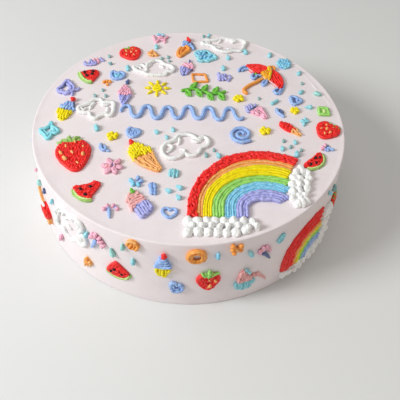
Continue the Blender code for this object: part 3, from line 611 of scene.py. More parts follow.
def umbrellas():
    draw("umbrella", top, [
        (strokes, "red", (53, 78, 62, 79, 70, 77.5, 74, 75, 71, 70.5, 65, 68, 59, 67.5, 56, 72), 1.9, -25, 6,
         1.25, 1.5),
        (strokes, "amber", (66, 69, 72, 71.5, 75, 75, 74.5, 66, 71.5, 58.5, 69.5, 62), 1.9, 62, 6, 1.25, 1.5),
        (strokes, "red", (75.5, 69, 78, 70.5, 82, 65, 84.5, 57, 83.5, 50, 80.5, 46.5, 78, 52, 74.5, 56), 1.9,
         -72, 7, 1.25, 1.5),
        (pipe, "red", (74, 75, 66, 78.5, 58, 79, 53, 77.5), 1.2, 1.2, 0.5),
        (pipe, "red", (77, 71.5, 82, 66, 85, 57, 84.5, 49, 82, 45), 1.3, 1.0),
        (pipe, "amber", (74.5, 76.5, 75.5, 69, 74, 61, 72.5, 56), 1.4, 2.0),
        (dabs, "yellow", [(73, 74, 74, 69), (74.6, 66, 74, 61)], 0.9, 3.0),
        (pipe, "orange", (75, 72.5, 76, 76, 79, 76.5, 79.5, 72.5), 1.1, 1.6),
        (pipe, "blue", (53, 77, 49.5, 76.5, 46.5, 73, 45.5, 70), 1.3, 0.4),
        (pipe, "blue", (55, 74, 51, 73, 48.5, 70.5), 1.3, 0.5),
        # slate line inside the blue trim: painted shade
        (pipe, "slate", (52.5, 76, 50, 73.8, 47.5, 72), 0.9, 0.9),
        (pipe, "blue", (59, 67, 57, 62, 58.5, 59, 61, 60.5, 62.5, 64, 66, 64), 1.3, 0.4),
        # slate line inside the blue trim: painted shade
        (pipe, "slate", (60, 64.5, 60.5, 61, 64, 62.5), 0.9, 0.8),
        (pipe, "leaf", (61, 67.5, 61.5, 64.5), 1.0, 1.0),
        (pipe, "blue", (71.5, 57.5, 70, 53, 67.5, 49.5, 66.5, 52.5, 69, 56), 1.4, 0.4),
        (pipe, "blue", (80.5, 45, 77.6, 44, 76.6, 41, 78.6, 38, 81.6, 40.5, 83, 45), 1.25, 0.4),
        # slate line inside the blue trim: painted shade
        (pipe, "slate", (80, 44, 79, 41.4, 80, 39.4), 1.0, 0.5),
        (pipe, "blue", (85.5, 55, 86.2, 50, 84, 43, 81, 37.5), 1.0, 0.2),
        (pipe, "rose", (55, 73.5, 58, 69.5, 61, 67.5), 0.9, 1.2),
        (pipe, "rose", (73, 56, 76.5, 51.5, 80, 46.5), 0.9, 1.0)])
    pipe("umbrella_handle", "orange", top,
         (67.5, 59, 60, 53.5, 53.5, 48.5, 49.5, 43.5, 49.3, 39.8, 51.5, 37.5), 1.7, 0.2)
    draw("umbrella_side", onSide(-61.5, 30.5), [
        # a deeper red bed under the red strokes: painted shade in their gaps
        (strokes, "red", (-3.5, 8.6, 2, 9, 6.6, 5.4, 7.4, -0.6, 4.4, -5.2, 0.4, -6, -4.4, -2.4, -5.4, 3), 2.0,
         80, 7, 1.5, 2.6, 0.7, "crimson", 0.7),
        (pipes, "red", [(-1.6, 9, -3.6, 3, -1.6, -4.6), (0, 9.2, 0.8, 3, 1.6, -5.6), (1.4, 9, 5.2, 3,
         4.2, -4.2)], 1.1, 3.0, 0.4, (0.6, 1.1, 0.8)),
        (strokes, "peach", (0, -5.4, 5.4, -4.8, 7, -9, 4.6, -12.8, 1, -10.4), 2.0, 80, 4, 1.5, 2.2),
        (pipe, "peach", (-9, 22, -6, 15, -3, 9), 1.3, 1.2),
        (pipe, "white", (-3.6, 8.8, -0.8, 9.4, 1.6, 9), 1.1, 2.6)])


# Scrolls and a sprig

def scrolls():
    waves = []
    for step in range(95):
        turn = math.tau * step / 16
        waves.append((-60 + 1.125 * step - 0.75 * math.sin(2 * turn),
                      9 + 7.5 * math.sin(turn) + 0.7 * math.sin(turn * 0.37)))
    pipe("wave_scroll", "blue", top, waves, 1.75, 0.25, profile=(0.7, 1, 1.05, 0.9, 1.05, 0.95, 0.8))
    curl = []
    for step in range(16):
        turn = math.tau * step / 8
        reach = 1.5 + 4.6 * step / 8
        curl.append((reach * math.cos(turn), reach * math.sin(turn)))
    pipe("curl", "blue", onTop(44, -17), curl, 1.7, 0.25, profile=(0.8, 1, 1.05, 0.9))
    stem = [(-8 + 5 * step, 39 + 3 * math.sin(step * 0.8)) for step in range(9)]
    pipe("green_sprig", "leaf", top, stem, 1.35, 0.3, 0.3)
    for i in range(7):
        x, y = stem[i + 1]
        side = 1 if i % 2 else -1
        leaf = moved([(0, -5.2), (1.4, -1), (0.6, 2.5), (0, 5.2)], x + 1, y + side * 4.6, -side * 28)
        leaf = leaf if side > 0 else leaf[::-1]
        pipe("green_sprig", "leaf", top, leaf, 1.7, lift=0.4, crinkle=0.4, profile=(0.8, 1.1, 1, 0.5))
        vein = moved([(-1, -4), (-1.8, 0), (-0.6, 3)], x + 1, y + side * 4.6, -side * 28)
        pipe("green_sprig", "leaf", top, vein, 1.1, lift=0.3)
    sun = onTop(-30, 42.5)
    rows("sun", "yellow", sun, oval(9, 9), 2.1, 20, 1.3, 1.0, 0.5)
    for ray in range(8):
        dab("sun", "yellow", sun, *moved([(0, 8.4)], 0, 0, 45 * ray)[0], 2.9, 6.6, 45 * ray)


# Flowers, rings and other single pieces

def singles():
    draw("flower_lilac", top, [
        (loop, "violet", (-112, 50, -109.5, 46.5, -106.5, 43, -105, 40, -105, 36, -107.5, 33.5, -111, 31.5,
         -114, 33, -117.5, 34, -119, 37.5, -116, 41.5, -114.5, 46), 1.65, 0.2, 0.6),
        (pipe, "violet", (-105, 36.5, -101.5, 37, -100.2, 40), 1.3, 0.2),
        (pipe, "violet", (-106.3, 35, -105.5, 32.5, -105.2, 29.8), 1.35, 0.2),
        # slate lines along the petals' edges: painted shade
        (pipe, "slate", (-113.5, 48, -114.5, 43, -117.5, 38), 0.9, 0.6),
        (pipe, "slate", (-109, 47.5, -106, 42.5), 0.8, 0.9),
        (pipe, "violet", (-112, 45.5, -109, 41.5, -108, 37.5, -110.5, 34.5), 1.4, 0.1),
        (pipe, "violet", (-117, 36, -114.5, 36.5), 1.3, 0.2)])
    draw("flower_cyan", top, [
        (loop, "cyan", (-117, -7.5, -115.5, -12, -112, -14.5, -109.5, -17.5, -111.5, -20.5, -114.5, -20.5,
         -115, -24, -117, -27, -120, -23, -124.5, -17.5, -121, -15, -118.5, -12), 1.6, 0.2, 0.4),
        (pipe, "cyan", (-116, -14, -113, -17, -116, -19.5, -118, -22), 1.5, 0.1),
        (pipe, "teal", (-122, -17, -119, -20, -117, -24), 0.9, 0.6),
        (pipe, "teal", (-118.5, -9, -119.2, -13, -121.5, -15.5), 0.9, 0.7)])
    middle = (-60.6, -57)
    bed("flower_pink", "pink", top, oval(10, 9, 10, *middle), 1.0)
    for turn, reach in ((118, 8.2), (52, 8.6), (-8, 7.6), (-62, 7.4), (-122, 8.0), (176, 7.4)):
        petal = moved([(2.4, 0), (reach * 0.66, 0.9), (reach, 0), (reach * 0.66, -0.9)], *middle, turn)
        loop("flower_pink", "pink", top, petal, 1.5, 0.3, 0.3)
    draw("flower_pink", top, [
        (dabs, "pink", [(-62.6, -58.6, -61.2, -55.4), (-59.4, -55.2, -58.6, -58.4)], 1.3, 1.5),
        (dabs, "rose", [(-65.2, -58.2, -62.8, -57.2)], 1.2, 1.8),
        (dabs, "slate", [(-60.9, -56.2, -59.5, -57)], 0.9, 2.2)])
    draw("flower_teal", top, [
        (bed, "sky", (6, 97, 12, 99, 19, 96, 23, 90.5, 19, 86.6, 10, 86.4, 7, 91), 0.9),
        (pipes, "teal", [(4.4, 98.6, 8, 100, 11.6, 99), (12, 100.6, 16, 100.4, 19, 96.4),
         (19.4, 96.6, 22, 94), (22.4, 94, 25, 89.6), (24.4, 88.6, 20, 87.4, 17.6, 85), (17, 84.4, 12.6, 86),
         (12, 84.6, 8.6, 84.6, 7, 87.4), (7.4, 88, 7, 91.6, 4.6, 94), (5, 94, 4, 98)], 1.5, 0.3, 0.7),
        (dabs, "sky", [(6, 98, 9, 95.5), (13.5, 99, 12, 95), (20, 94, 17, 92.4), (17, 87.5, 17.5, 90.5),
         (9, 88, 10.5, 91), (6, 93, 9, 92), (14, 92.6, 13, 89.4)], 1.5, 0.7),
        (dabs, "slate", [(5, 96.5, 6.4, 94.5), (11.8, 93, 13, 90.5)], 0.9, 1.1)])
    draw("ring_front", onSide(3, 67), [
        (loop, "orange", oval(12, 12.4, 12), 1.9, 0.1, 0.5),
        (loop, "orange", oval(8.6, 9.2, 10, 0.2, -0.2), 1.3, 0.9, 1.0),
        # the peach strokes over the ring are painted highlights
        (pipes, "peach", [(-4.8, 2.4, -2.6, 5.6, 1.6, 6.4), (4.6, 4.4, 5.6, 0, 4.4, -3.6), (-4.8, -2.4,
         -3, -5.6, 0.6, -6.4)], 0.9, 1.6, 0.6)])
    draw("ring_rear", onSide(118, 60), [
        (loop, "orange", oval(11, 11, 12), 1.8, 0.1),
        (loop, "orange", oval(7, 7, 12), 1.5, 0.7, 0.4),
        (loop, "peach", oval(13, 13, 12), 1.1)])
    draw("sundae", onSide(19.5, 29), [
        (rows, "teal", (-8, -3, -3, -3.5, 3, -3, 8.5, -4, 8, -9, 4, -13.5, -3, -14, -7, -9), 2.5, 86, 1.4,
         1.2, 0.5),
        (strokes, "rose", (-5.5, -3, -5, 5, -3, 11, 0, 11, 2, 5.5, 5.5, 2, 6, -1.5, 2, -3), 2.0, 80, 6, 1.3,
         1.5),
        (dabs, "teal", [(3.5, 7.5, -0.5, 13.5)], 1.5, 1.4)])


# Small toppings

def topSmalls():
    mist = [(-78.5, 89, 20, 3.2, 4.6), (-76, 77.5, 70, 3.4, 4.2), (-79, 38, 20, 2.8, 4.6),
            (-85, 30, 30, 2.8, 5), (-75.5, 30, 20, 2.8, 5.4), (-28, 88, 15, 2.8, 4.6), (-22, 90, 10, 3, 5.4),
            (-20.5, 84, 20, 2.6, 4), (-27, 80, 20, 2.4, 3.4), (62, 31, 0, 2.4, 4.4),
            (79, -23.5, -5, 2.8, 4.6), (84, -30.5, -15, 2.8, 4.8), (92.5, -34, 0, 2.4, 4.2),
            (20.5, -36, 10, 2.6, 4.6), (14, -42, 10, 3, 6.4), (103.5, 54, -10, 2.8, 4.4),
            (12.5, 127, 15, 3, 4.6), (17, 124, 15, 3, 5)]
    teal = [(-34, 106, 5, 4.2, 8), (-27.5, -16, 40, 4, 5.4), (-14, -12.5, 15, 3.4, 6), (-19, -22, 20, 3.4, 5),
            (24, -42.5, 25, 4, 6.6), (-15, -81.5, 55, 4, 6), (-6.5, -78, 60, 4, 6.4), (-7, -88, 40, 4.2, 5.4),
            (36, 91, 10, 4, 8.6), (31, 74, 5, 4.4, 8.4), (53.5, 101, 10, 4.2, 8.6), (77, 97, -15, 4, 9),
            (102.5, 69, -35, 3.8, 7.4), (101, 41, -40, 3.6, 7.4), (77, -33, 10, 3.8, 5.4),
            (88.5, -25, 10, 3.4, 5.6), (88.2, -39.5, -10, 4.6, 7.2), (106, 20, 85, 4, 7),
            (18, 129, 15, 2.8, 4)]
    for colour, places in (("mist", mist), ("teal", teal)):
        for x, y, turn, width, length in places:
            dab("cake", colour, top, x, y, width, length * 0.94, turn)
    dab("cake", "slate", top, -57.5, 50, 3.6, 7.0, -10)
    for x, y, turn in [(-59, 70.5, 3), (-78.5, -12.5, 18)]:
        drop = moved([(0, -2.8), (0, 0), (0, 2.8)], x, y, turn)
        pipe("cake", "teal", top, drop, 2.3, profile=(0.9, 1, 0.8))
    draw("cake", top, [
        (pipe, "mint", (113.5, 40, 116, 38.5, 118, 38), 2.2, 0, 0, (0.9, 1, 0.9)),
        (pipe, "teal", (78.3, 28.5, 76.5, 26.8, 73, 23.8), 2.0, 0, 0, (1.15, 0.75, 1))])

    # hearts
    draw("cake", top, [
        (loop, "blue", (-73.5, 62.5, -72, 65, -68.5, 62.5, -65, 64, -61.5, 61.5, -62, 57.5, -65.5, 54.5,
         -70, 54.5, -73, 58.5), 1.5, 0.1),
        (bed, "sky", (-72, 62, -68.5, 61, -63, 61, -64, 57, -69.5, 56), 1.6),
        (pipe, "sky", (-70, 61, -68, 57, -66, 61), 1.4, 0.4),
        (pipe, "slate", (-73.6, 62.5, -72.4, 59.5), 0.8, 0.9)])
    heart = (-52, -15, -50.5, -12.5, -47.5, -13.5, -43.5, -14, -41.5, -17, -44, -21, -48.5, -22.5, -51.5, -19)
    draw("cake", top, [
        (loop, "blue", heart, 1.5, 0.1, 0.4),
        (rows, "blue", heart, 2.3, 80, 1.25, 0.8, 0.5),
        (pipe, "slate", (-50, -13.5, -49.6, -17), 0.9, 1.2),
        (bed, "blue", (90.4, 34, 96, 33, 100.6, 28.8, 96, 25, 91, 23.4), 1.0),
        (pipes, "blue", [(90.4, 34, 90.8, 29, 91.4, 23.6), (91, 34.4, 95.6, 33, 100.6, 29), (100.6, 28.4,
         97, 25.4, 92.4, 23), (96.6, 31, 95.6, 26.6)], 1.45, 0.3, 0.5),
        (pipe, "slate", (93.6, 32, 92.8, 29, 94, 26), 0.9, 0.9),
        (loop, "blue", (-13.4, -100.4, -14.8, -98.8, -17.2, -98.6, -18.9, -100.4, -18.2, -103.6,
         -15.8, -106.4, -13.4, -107.4, -10.2, -105.4, -8.4, -102.6, -8.8, -99.8, -11.4, -98.9), 1.25, 0.1,
         0.3),
        (strokes, "teal", (-15.6, -62, -13.6, -59, -9.6, -58.4, -7.6, -62, -9, -66.4, -12, -65, -14.4, -65.6),
         2.0, 60, 3.4, 1.2, 0.9, 0.8),
        (dabs, "teal", [(-14.6, -62, -14.8, -66), (-8.6, -62.4, -9.2, -66.6), (-11.4, -61, -12, -67.4)], 1.3,
         0.5),
        (dabs, "mint", [(-12.6, -60.6, -10.4, -60.8)], 0.9, 1.4)])

    # little flowers
    for x, y, turn, reach, size in ((-64, -22, 10, 5.4, 2.2), (43.5, 30, 20, 5.0, 2.2),
                                    (92.5, 15, 40, 4.2, 2.1), (64, -12, 10, 5.2, 2.2)):
        bloom("yellow", onTop(x, y, turn), reach, size, "yellow")
    draw("cake", top, [
        (dabs, "blue", [(-39, -67.5, -40, -70.5), (-35.5, -71.5, -38, -72.5)], 1.7, 0.1),
        (dabs, "sky", [(-38.3, -77, -39.3, -74), (-43, -76.5, -42.5, -73), (-45.5, -71, -43, -72.5)], 1.8,
         0.1),
        (dabs, "teal", [(96.5, 2.5, 99, 1), (98, -3.5, 99.4, 0), (103, 2, 100.4, 0.6),
         (100.5, 5.5, 100.2, 2)], 1.5, 0.1),
        # the blue bed under the sky strokes is painted shade in their gaps
        (strokes, "sky", (84, 85, 86, 89.5, 91, 90.5, 94.5, 88, 96, 82, 93, 77.5, 88, 76, 84, 79), 2.8, 65,
         3.6, 1.4, 0.8, 1.4, "blue", 0.9),
        (dabs, "teal", [(84.5, 81, 83, 84.5), (85.5, 88.5, 88, 90), (92, 90.5, 94.5, 87.5),
         (95.5, 84, 95, 80), (92, 77.5, 88.5, 76.5)], 1.3, 0.3),
        (dabs, "slate", [(86, 86.5, 87.5, 85), (89, 88, 89.5, 85.5), (92, 84.5, 91, 83)], 0.9, 1.2),
        (dabs, "pink", [(-62.6, -101, -61.4, -99.8), (-60.6, -96.6, -59.6, -98), (-55.4, -96.4, -56, -98),
         (-52, -100, -53.4, -100.6)], 1.7, 0.2),
        (dabs, "violet", [(-59.4, -98.8, -58.8, -100), (-53.4, -98, -54.4, -99.4)], 1.1, 0.2),
        (dabs, "pink", [(110, -29, 112, -30.5), (113, -26, 113.2, -29), (109.5, -33, 112, -31.5)], 1.1, 0.2),
        (dabs, "violet", [(112.5, -33.5, 113, -31.5)], 1.1, 0.2),
        (dabs, "slate", [(115.5, -28, 114, -30.5)], 1.0, 0.2),
        (dabs, "blue", [(117, -31.5, 114.5, -31), (119.5, -33, 116.5, -32.4), (114.5, -34, 114, -32)], 1.3,
         0.2),
        (pipe, "blue", (-58.5, -100.5, -58, -104, -57.4, -108.5), 1.3, 0.2, 0, (1.2, 1, 0.6))])

    # frames, squiggles and the rest
    draw("cake", top, [
        (bed, "rind", (115, 18, 121, 18, 121, 12, 115, 12), 1.4),
        (pipes, "green", [(114.3, 19.2, 114.2, 15, 114, 11.2), (113.8, 19.6, 118, 19.4, 121.4, 19.6),
         (121.6, 19.4, 121.9, 15, 122.4, 10.6), (113.6, 11, 118, 10.8, 122.6, 10.4)], 1.45, 0.2, 0.5),
        (pipe, "leaf", (115.8, 18, 115.7, 12.4), 0.8, 0.7),
        (pipe, "rind", (118.8, 17, 118.6, 13.5), 1.5, 0.4)])
    corners = [(1.5, 64), (13.5, 64.3), (16.5, 53.5), (3, 53)]
    path = []
    for a, b in zip(corners, corners[1:] + corners[:1]):
        for k in range(4):
            path.append(tuple(Vector(a).lerp(Vector(b), 0.08 + 0.28 * k)))
    draw("cake", top, [
        (loop, "orange", path, 1.15, 0, 0.4),
        (pipes, "pink", [(-38, 125, -36.3, 119, -35, 114.5, -32.5, 116.5, -31, 120.5, -28, 121), (-23, 124.5,
         -26, 120.5, -26.3, 114), (-34, 124, -31, 122.5, -29, 125), (-33, 119.5, -30, 118.5, -27, 118.5)],
         1.4, 0.1, 0.5),
        (dabs, "sky", [(-34, 127.5, -31, 127), (-29.5, 127.5, -27.5, 126)], 1.3, 0.3)])
    squiggles = {  # each line's thickness, then its points
        "violet": [
            (1.7, 26, 65.5, 27, 61, 26.6, 56), (1.6, 27.5, 63, 31, 60, 33, 57),
            (1.6, 27.5, 57.5, 31, 61, 33, 64.5), (1.5, 29.5, 64.5, 30, 56), (1.1, 36, 64, 37, 60, 35, 55),
            (1.0, 38.5, 61, 36, 58),
            (1.4, -100.4, 79, -99.5, 75.5, -96.5, 75.5, -95, 81.5, -93.2, 77, -90.6, 79.5, -90, 76),
            (1.3, -99, 74.5, -94.5, 75, -90, 76), (1.1, -86, 86, -85, 82.4, -82.5, 82.5),
            (1.1, -28.6, -73.5, -27.4, -74.5)],
        "slate": [
            (0.9, 27.4, 64, 28, 60, 27.4, 58), (0.9, -71, -33, -70.2, -36), (0.9, -27.4, -77, -26.8, -79.4),
            (0.8, -26.8, -82, -26.6, -84), (1.1, 79, 16.5, 81.4, 12.5, 80.4, 9.5)],
        "pink": [
            (1.2, -93, 84.5, -91.5, 81, -90.4, 78), (1.2, -90, 84.5, -87.6, 80.5, -88.5, 78)],
        "blue": [
            (1.4, -72.3, -31.5, -72, -35.5, -70, -38.8, -67.6, -37.5, -69.5, -34),
            (1.1, -68, -37, -66.8, -39.2, -64.5, -39.2), (1.7, -29.4, -75, -28.6, -78.4),
            (1.7, -26.4, -74.6, -25.6, -79), (1.8, -28.4, -79.4, -27.8, -84.6),
            (1.7, -25.4, -80.4, -25.6, -85), (1.5, 76.5, 17, 77, 13, 79.5, 9.5, 82, 6.8)],
    }
    for colour, drawn in squiggles.items():
        for radius, *points in drawn:
            pipe("cake", colour, top, tuple(points), radius, 0.2, 0.3)
    draw("cake", top, [
        (strokes, "peach", (-42, 95, -40, 98, -37, 98.5, -33, 95.5, -31, 92.5, -34, 91, -39, 91.5), 1.9, -25,
         5, 1.2, 1.0),
        (pipe, "orange", (-41.3, 95.5, -39, 94, -37.8, 97), 1.0, 1.2),
        (dabs, "orange", [(-79.5, 48.5, -78.5, 50.5), (-75.6, 51.5, -76.5, 50), (-72.8, 49.5, -74.5, 50.5),
         (-75.3, 45.3, -76.6, 47.6)], 1.5, 0.1),
        (dabs, "peach", [(-78.5, 51.5, -77, 51), (-74, 51.5, -73, 51)], 1.1, 0.4)])


def filledHeart(colour, spot, outline, middle):
    draw("cake", spot, [
        (bed, colour, [(x * 0.8, y * 0.8) for x, y in outline], 1.2),
        (loop, colour, outline, 1.5, 0.2, 0.4),
        (pipe, colour, middle, 1.3, 0.5)])


def sideSmalls():
    for azimuth, height, turn, colour, width, length in [
            (-53, 62, -20, "teal", 3.4, 9), (-34.6, 60, -20, "teal", 4.2, 8.4),
            (-24.6, 53, 12, "mint", 4, 11), (-20.7, 65, 0, "mint", 3.6, 8), (-17.4, 50.5, 0, "teal", 4, 8.4),
            (9.7, 65.5, 0, "sky", 3.6, 8), (20.7, 59.5, 22, "teal", 3.8, 10), (-65.5, 56, 0, "mint", 4, 7),
            (-59.5, 60, -8, "slate", 3, 9), (61, 67, 0, "mist", 4, 8.4), (57, 70, 30, "teal", 3.6, 10),
            (-70, 61, 0, "pink", 3, 4)]:
        dab("cake", colour, onSide(azimuth, height, turn), 0, 0, width, length)
    draw("cake", onSide(-80.5, 66), [
        (pipe, "violet", (0, 8, 0.5, 0, 0, -9), 1.1, -0.2, 0, (0.5, 1, 0.6))])
    heart = paired((-4.5, 2, -3.5, 5, -1, 4.5, 0.5, 2.5, 2.5, 3, 4.2, 0, 4, -3.5, 1, -6, -2.5, -6,
                    -4.3, -2.5))
    filledHeart("blue", onSide(-3.2, 27.5), heart, (-2.6, 1.5, -1.4, -2, 1.6, -2.6))
    pipe("cake", "slate", onSide(-3.2, 27.5), (-0.9, 1.5, 0.6, 0.2), 0.8, 1.0)
    draw("cake", onSide(-36, 22), [
        (strokes, "peach", (-4.5, -9, -4, -2, -1.5, 5.5, 0.5, 4.5, 3, 3, 4.5, -0.5, 1.5, -4), 2.1, 65, 6,
         1.35, 1.2),
        (pipe, "orange", (-0.5, 5.5, 0.6, 1.5, -0.8, -3), 1.0, 1.4)])
    draw("cake", onSide(15.6, 70), [
        (dabs, "orange", [(-3.6, 5.6, -2, 2.4), (-4, 0.6, -1.6, 0), (-2.4, -4.6, -1, -1.8),
         (3.6, 3.4, 1, 1.6), (3.8, -1.6, 1, -0.6)], 1.9, 0.1),
        (dabs, "peach", [(-0.6, 1.6, 0, -0.8)], 1.4, 0.6)])
    draw("cake", onSide(-17.2, 70.5), [
        (rows, "orange", (-5, 0, -3.6, 4.6, 0, 6.6, 3.8, 5, 4.6, -0.4, 3, -6, 1.6, -3.4, -1.6, -3.6,
         -4, -2.6), 2.3, 76, 1.35, 1.2, 0.5),
        (pipe, "peach", (-4.4, 1.5, -1, 5.6, 3.6, 4.4), 1.1, 1.0)])
    draw("cake", onSide(31.8, 64, -28), [
        (bed, "teal", oval(4.6, 9), 1.3),
        (loop, "teal", oval(3.6, 8.4), 1.15, 0.2)])
    draw("cake", onSide(-51, 21), [
        (pipe, "pink", (-2.2, -4.5, 0, 0, 1.6, 4.5), 2.2, 0, 0, (0.8, 1, 0.8))])
    for azimuth, height in ((-30, 61), (150, 30)):
        spot = onSide(azimuth, height)
        draw("cake", spot, [
            (dabs, "pink", [(-7, 0.5, -4.5, 0), (-4.8, 4.8, -3, 2), (-1, 6.4, -1.4, 2.8),
             (2.6, 4.4, 0.6, 1.8), (4.6, 0.8, 2.4, 0.2), (6.4, -2.6, 3.6, -1.8), (4, -6, 3.2, -3.4),
             (0.6, -1.4, 2, -1)], 1.8, 0.2),
            (dabs, "rose", [(-3, 2.2, -2, 0.6), (1.4, 3, 0.6, 1.6), (3.6, -1.6, 3, -3)], 1.2, 0.7),
            (pipe, "blue", (-1.8, -1.5, -3.8, -7, -7, -13.5), 1.9, 0.1, 0, (1.1, 1, 0.5))])
    draw("cake", onSide(25.5, 58), [
        (dabs, "pink", [(-4, 2.4, -3.6, -2.6), (-1.2, 5.2, -1, 0.4), (1.8, 4.4, 2, 0), (4.4, 0.6, 4.8, -4)],
         1.6, 0.2),
        (dabs, "rose", [(-2.4, 3.4, -2.2, 0), (3.2, 2.6, 3.4, -1.4)], 1.1, 0.6),
        (pipe, "slate", (-1.2, -1.8, 2, -5.5, 5.8, -12.5), 1.8, 0.1, 0, (1.1, 0.9, 0.4))])
    draw("cake", onSide(25, 25), [
        (pipe, "rose", (-5.5, 6, -3.5, 3, -1, 5, 0, 1, 2, -0.5, 3, -3, 5, -4.5, 7, -9), 1.15, 0, 1.0,
         (1.2, 1.1, 0.6))])


def rearSmalls():  # the hidden side carries the same kinds
    drops = [(84, 15.6, -17), (94, 41.3, -7), (104, 60.3, -3), (109, 37.6, -20), (129, 17.6, -5),
             (134, 67.8, -23), (154, 38.4, 4), (159, 18.1, -6), (209, 67.8, -19), (219, 14.2, -1),
             (234, 20, -9), (244, 41.6, -2), (254, 63.8, 8), (259, 37.5, 10), (269, 66.6, -11)]
    hearts = [(89, 65.2, -21), (114, 16.4, 16), (189, 19.4, 10), (239, 65.6, 5), (264, 18.2, 25)]
    blooms = [(99, 13.5, 0), (124, 42, 22), (149, 62.5, 16), (174, 18.4, -4), (249, 19.7, 22),
              (274, 40.1, 8)]
    for i, place in enumerate(drops):
        dab("cake", ("teal", "mint", "sky")[i % 3], onSide(*place), 0, 0, 4.2, 8.6)
    heart = paired((-3.6, 2.4, -2.8, 4.4, -0.6, 3.8, 0.6, 2.2, 2.6, 3.8, 4.2, 2, 3.8, -1.4, 0.6, -5,
                    -2.6, -2))
    for i, place in enumerate(hearts):
        colour = ("blue", "pink", "peach")[i % 3]
        filledHeart(colour, onSide(*place), heart, (-1.6, 2, -0.4, -1.8, 1.8, 1.4))
    for i, place in enumerate(blooms):
        colour, centre = (("pink", "yellow"), ("yellow", "yellow"), ("violet", "pink"))[i % 3]
        bloom(colour, onSide(*place), 5.4, 2.1, centre)


# Icing as a material

def nodeMaker(tree):
    def add(kind, settings=None, **sockets):
        node = tree.nodes.new(kind)
        for key, value in (settings or {}).items():
            setattr(node, key, value)
        for key, value in sockets.items():
            socket = node.inputs[int(key[1:])] if key[0] == "i" and key[1:].isdigit() else node.inputs[key]
            if isinstance(value, bpy.types.NodeSocket):
                tree.links.new(value, socket)
            else:
                socket.default_value = value
        return node

    def maths(operation, *values, clamp=False):
        numbered = {f"i{k}": value for k, value in enumerate(values)}
        return add("ShaderNodeMath", {"operation": operation, "use_clamp": clamp}, **numbered).outputs[0]

    return add, maths


def addSockets(tree, way, sockets):
    for name, kind in sockets.items():
        tree.interface.new_socket(name, in_out=way, socket_type="NodeSocket" + kind)


def icingGroup():  # mottle, fine grain and scraped streaks, for every icing; its colour goes towards its dip shade where the grain sits low: partly random tone, partly painted shade in the dips
    group = bpy.data.node_groups.new("icingSurface", "ShaderNodeTree")
    addSockets(group, "INPUT", {
        "Color": "Color", "Deep": "Color", "Roughness": "Float", "Mottle Scale": "Float",
        "Grain Scale": "Float", "Grain": "Float", "Streaks": "Float", "Pits": "Float"})
    addSockets(group, "OUTPUT", {"Color": "Color", "Roughness": "Float", "Height": "Float"})
    add, maths = nodeMaker(group)
    given, out = add("NodeGroupInput").outputs, add("NodeGroupOutput").inputs
    place = add("ShaderNodeTexCoord").outputs["Object"]

    def noiseNode(vector, scale, detail):
        return add("ShaderNodeTexNoise", None, Vector=vector, Scale=scale, Detail=detail).outputs["Fac"]

    mottle = noiseNode(place, given["Mottle Scale"], 3)
    fine = noiseNode(place, given["Grain Scale"], 4)
    flat = add("ShaderNodeMapping", None, Vector=place, Scale=(30, 30, 900)).outputs["Vector"]
    streak = noiseNode(flat, 1.0, 3)
    cells = add("ShaderNodeTexVoronoi", None, Vector=place, Scale=420).outputs["Distance"]
    pits = maths("MULTIPLY", maths("LESS_THAN", cells, 0.09), given["Pits"])
    spread = {"Value": mottle, "From Min": 0.34, "From Max": 0.56}
    spread = add("ShaderNodeMapRange", None, **spread).outputs["Result"]
    # the colour goes towards the deep colour where mottle and fine grain are low, the same places where the
    # height below dips: painted shade in the dips, partly random tone
    shade = maths("ADD", maths("MULTIPLY", spread, 0.75), maths("MULTIPLY", fine, 0.3), clamp=True)
    mix = add("ShaderNodeMix", {"data_type": "RGBA"}, Factor=shade, A=given["Deep"], B=given["Color"])
    rough = maths("MULTIPLY", maths("SUBTRACT", fine, 0.5), 0.3)
    drawn = maths("ADD", maths("MULTIPLY", fine, given["Grain"]), maths("MULTIPLY", streak, given["Streaks"]))
    high = maths("SUBTRACT", maths("ADD", drawn, maths("MULTIPLY", mottle, 0.6)), pits)
    group.links.new(mix.outputs["Result"], out["Color"])
    group.links.new(maths("ADD", given["Roughness"], rough, clamp=True), out["Roughness"])
    group.links.new(high, out["Height"])
    return group


toppingLook = {"Grain": 0.5, "Pits": 0.25, "Streaks": 0.0, "Mottle Scale": 420.0, "Grain Scale": 1400.0}

cakeLook = {"Grain": 0.3, "Pits": 0.35, "Streaks": 0.55, "Mottle Scale": 45.0, "Grain Scale": 900.0}

# the cake's deep colour is painted shade in the dips of its grain, partly random tone
cakeColour = {"colour": (240, 230, 232), "deep": (235, 224, 226), "roughness": 0.55}

whiteDipShade = (236, 236, 234)  # painted shade in white icing's dips: it darkens less there than a coloured one

bumps = {"toppings": 0.0004, "cake": 0.00035}  # how deep the grain looks, in metres

icingLight = {  # how light enters every icing
    "Subsurface Weight": 0.06,
    "Subsurface Radius": (1.0, 0.8, 0.7),
    "Subsurface Scale": 0.002,
    "Specular IOR Level": 0.4,
}

surface = icingGroup()


def icingMaterial(name, colour, deep, roughness, bump, look):
    material = bpy.data.materials.new(name)
    material.use_nodes = True
    add, _ = nodeMaker(material.node_tree)
    iced = add("ShaderNodeGroup", {"node_tree": surface}, Color=linear(colour), Deep=linear(deep),
               Roughness=roughness, **look).outputs
    relief = add("ShaderNodeBump", None, Strength=0.6, Distance=bump, Height=iced["Height"])
    shader = material.node_tree.nodes["Principled BSDF"]
    for key, value in icingLight.items():
        shader.inputs[key].default_value = value
    for source, key in ((iced["Color"], "Base Color"), (iced["Roughness"], "Roughness"),
                        (relief.outputs["Normal"], "Normal")):
        material.node_tree.links.new(source, shader.inputs[key])
    return material


def dipShadeOf(colour):  # an icing's painted shade in the dips of its grain: the paler the channel, the less it darkens
    return tuple(c * (0.72 + 0.25 * (c / 255) ** 3) for c in colour)


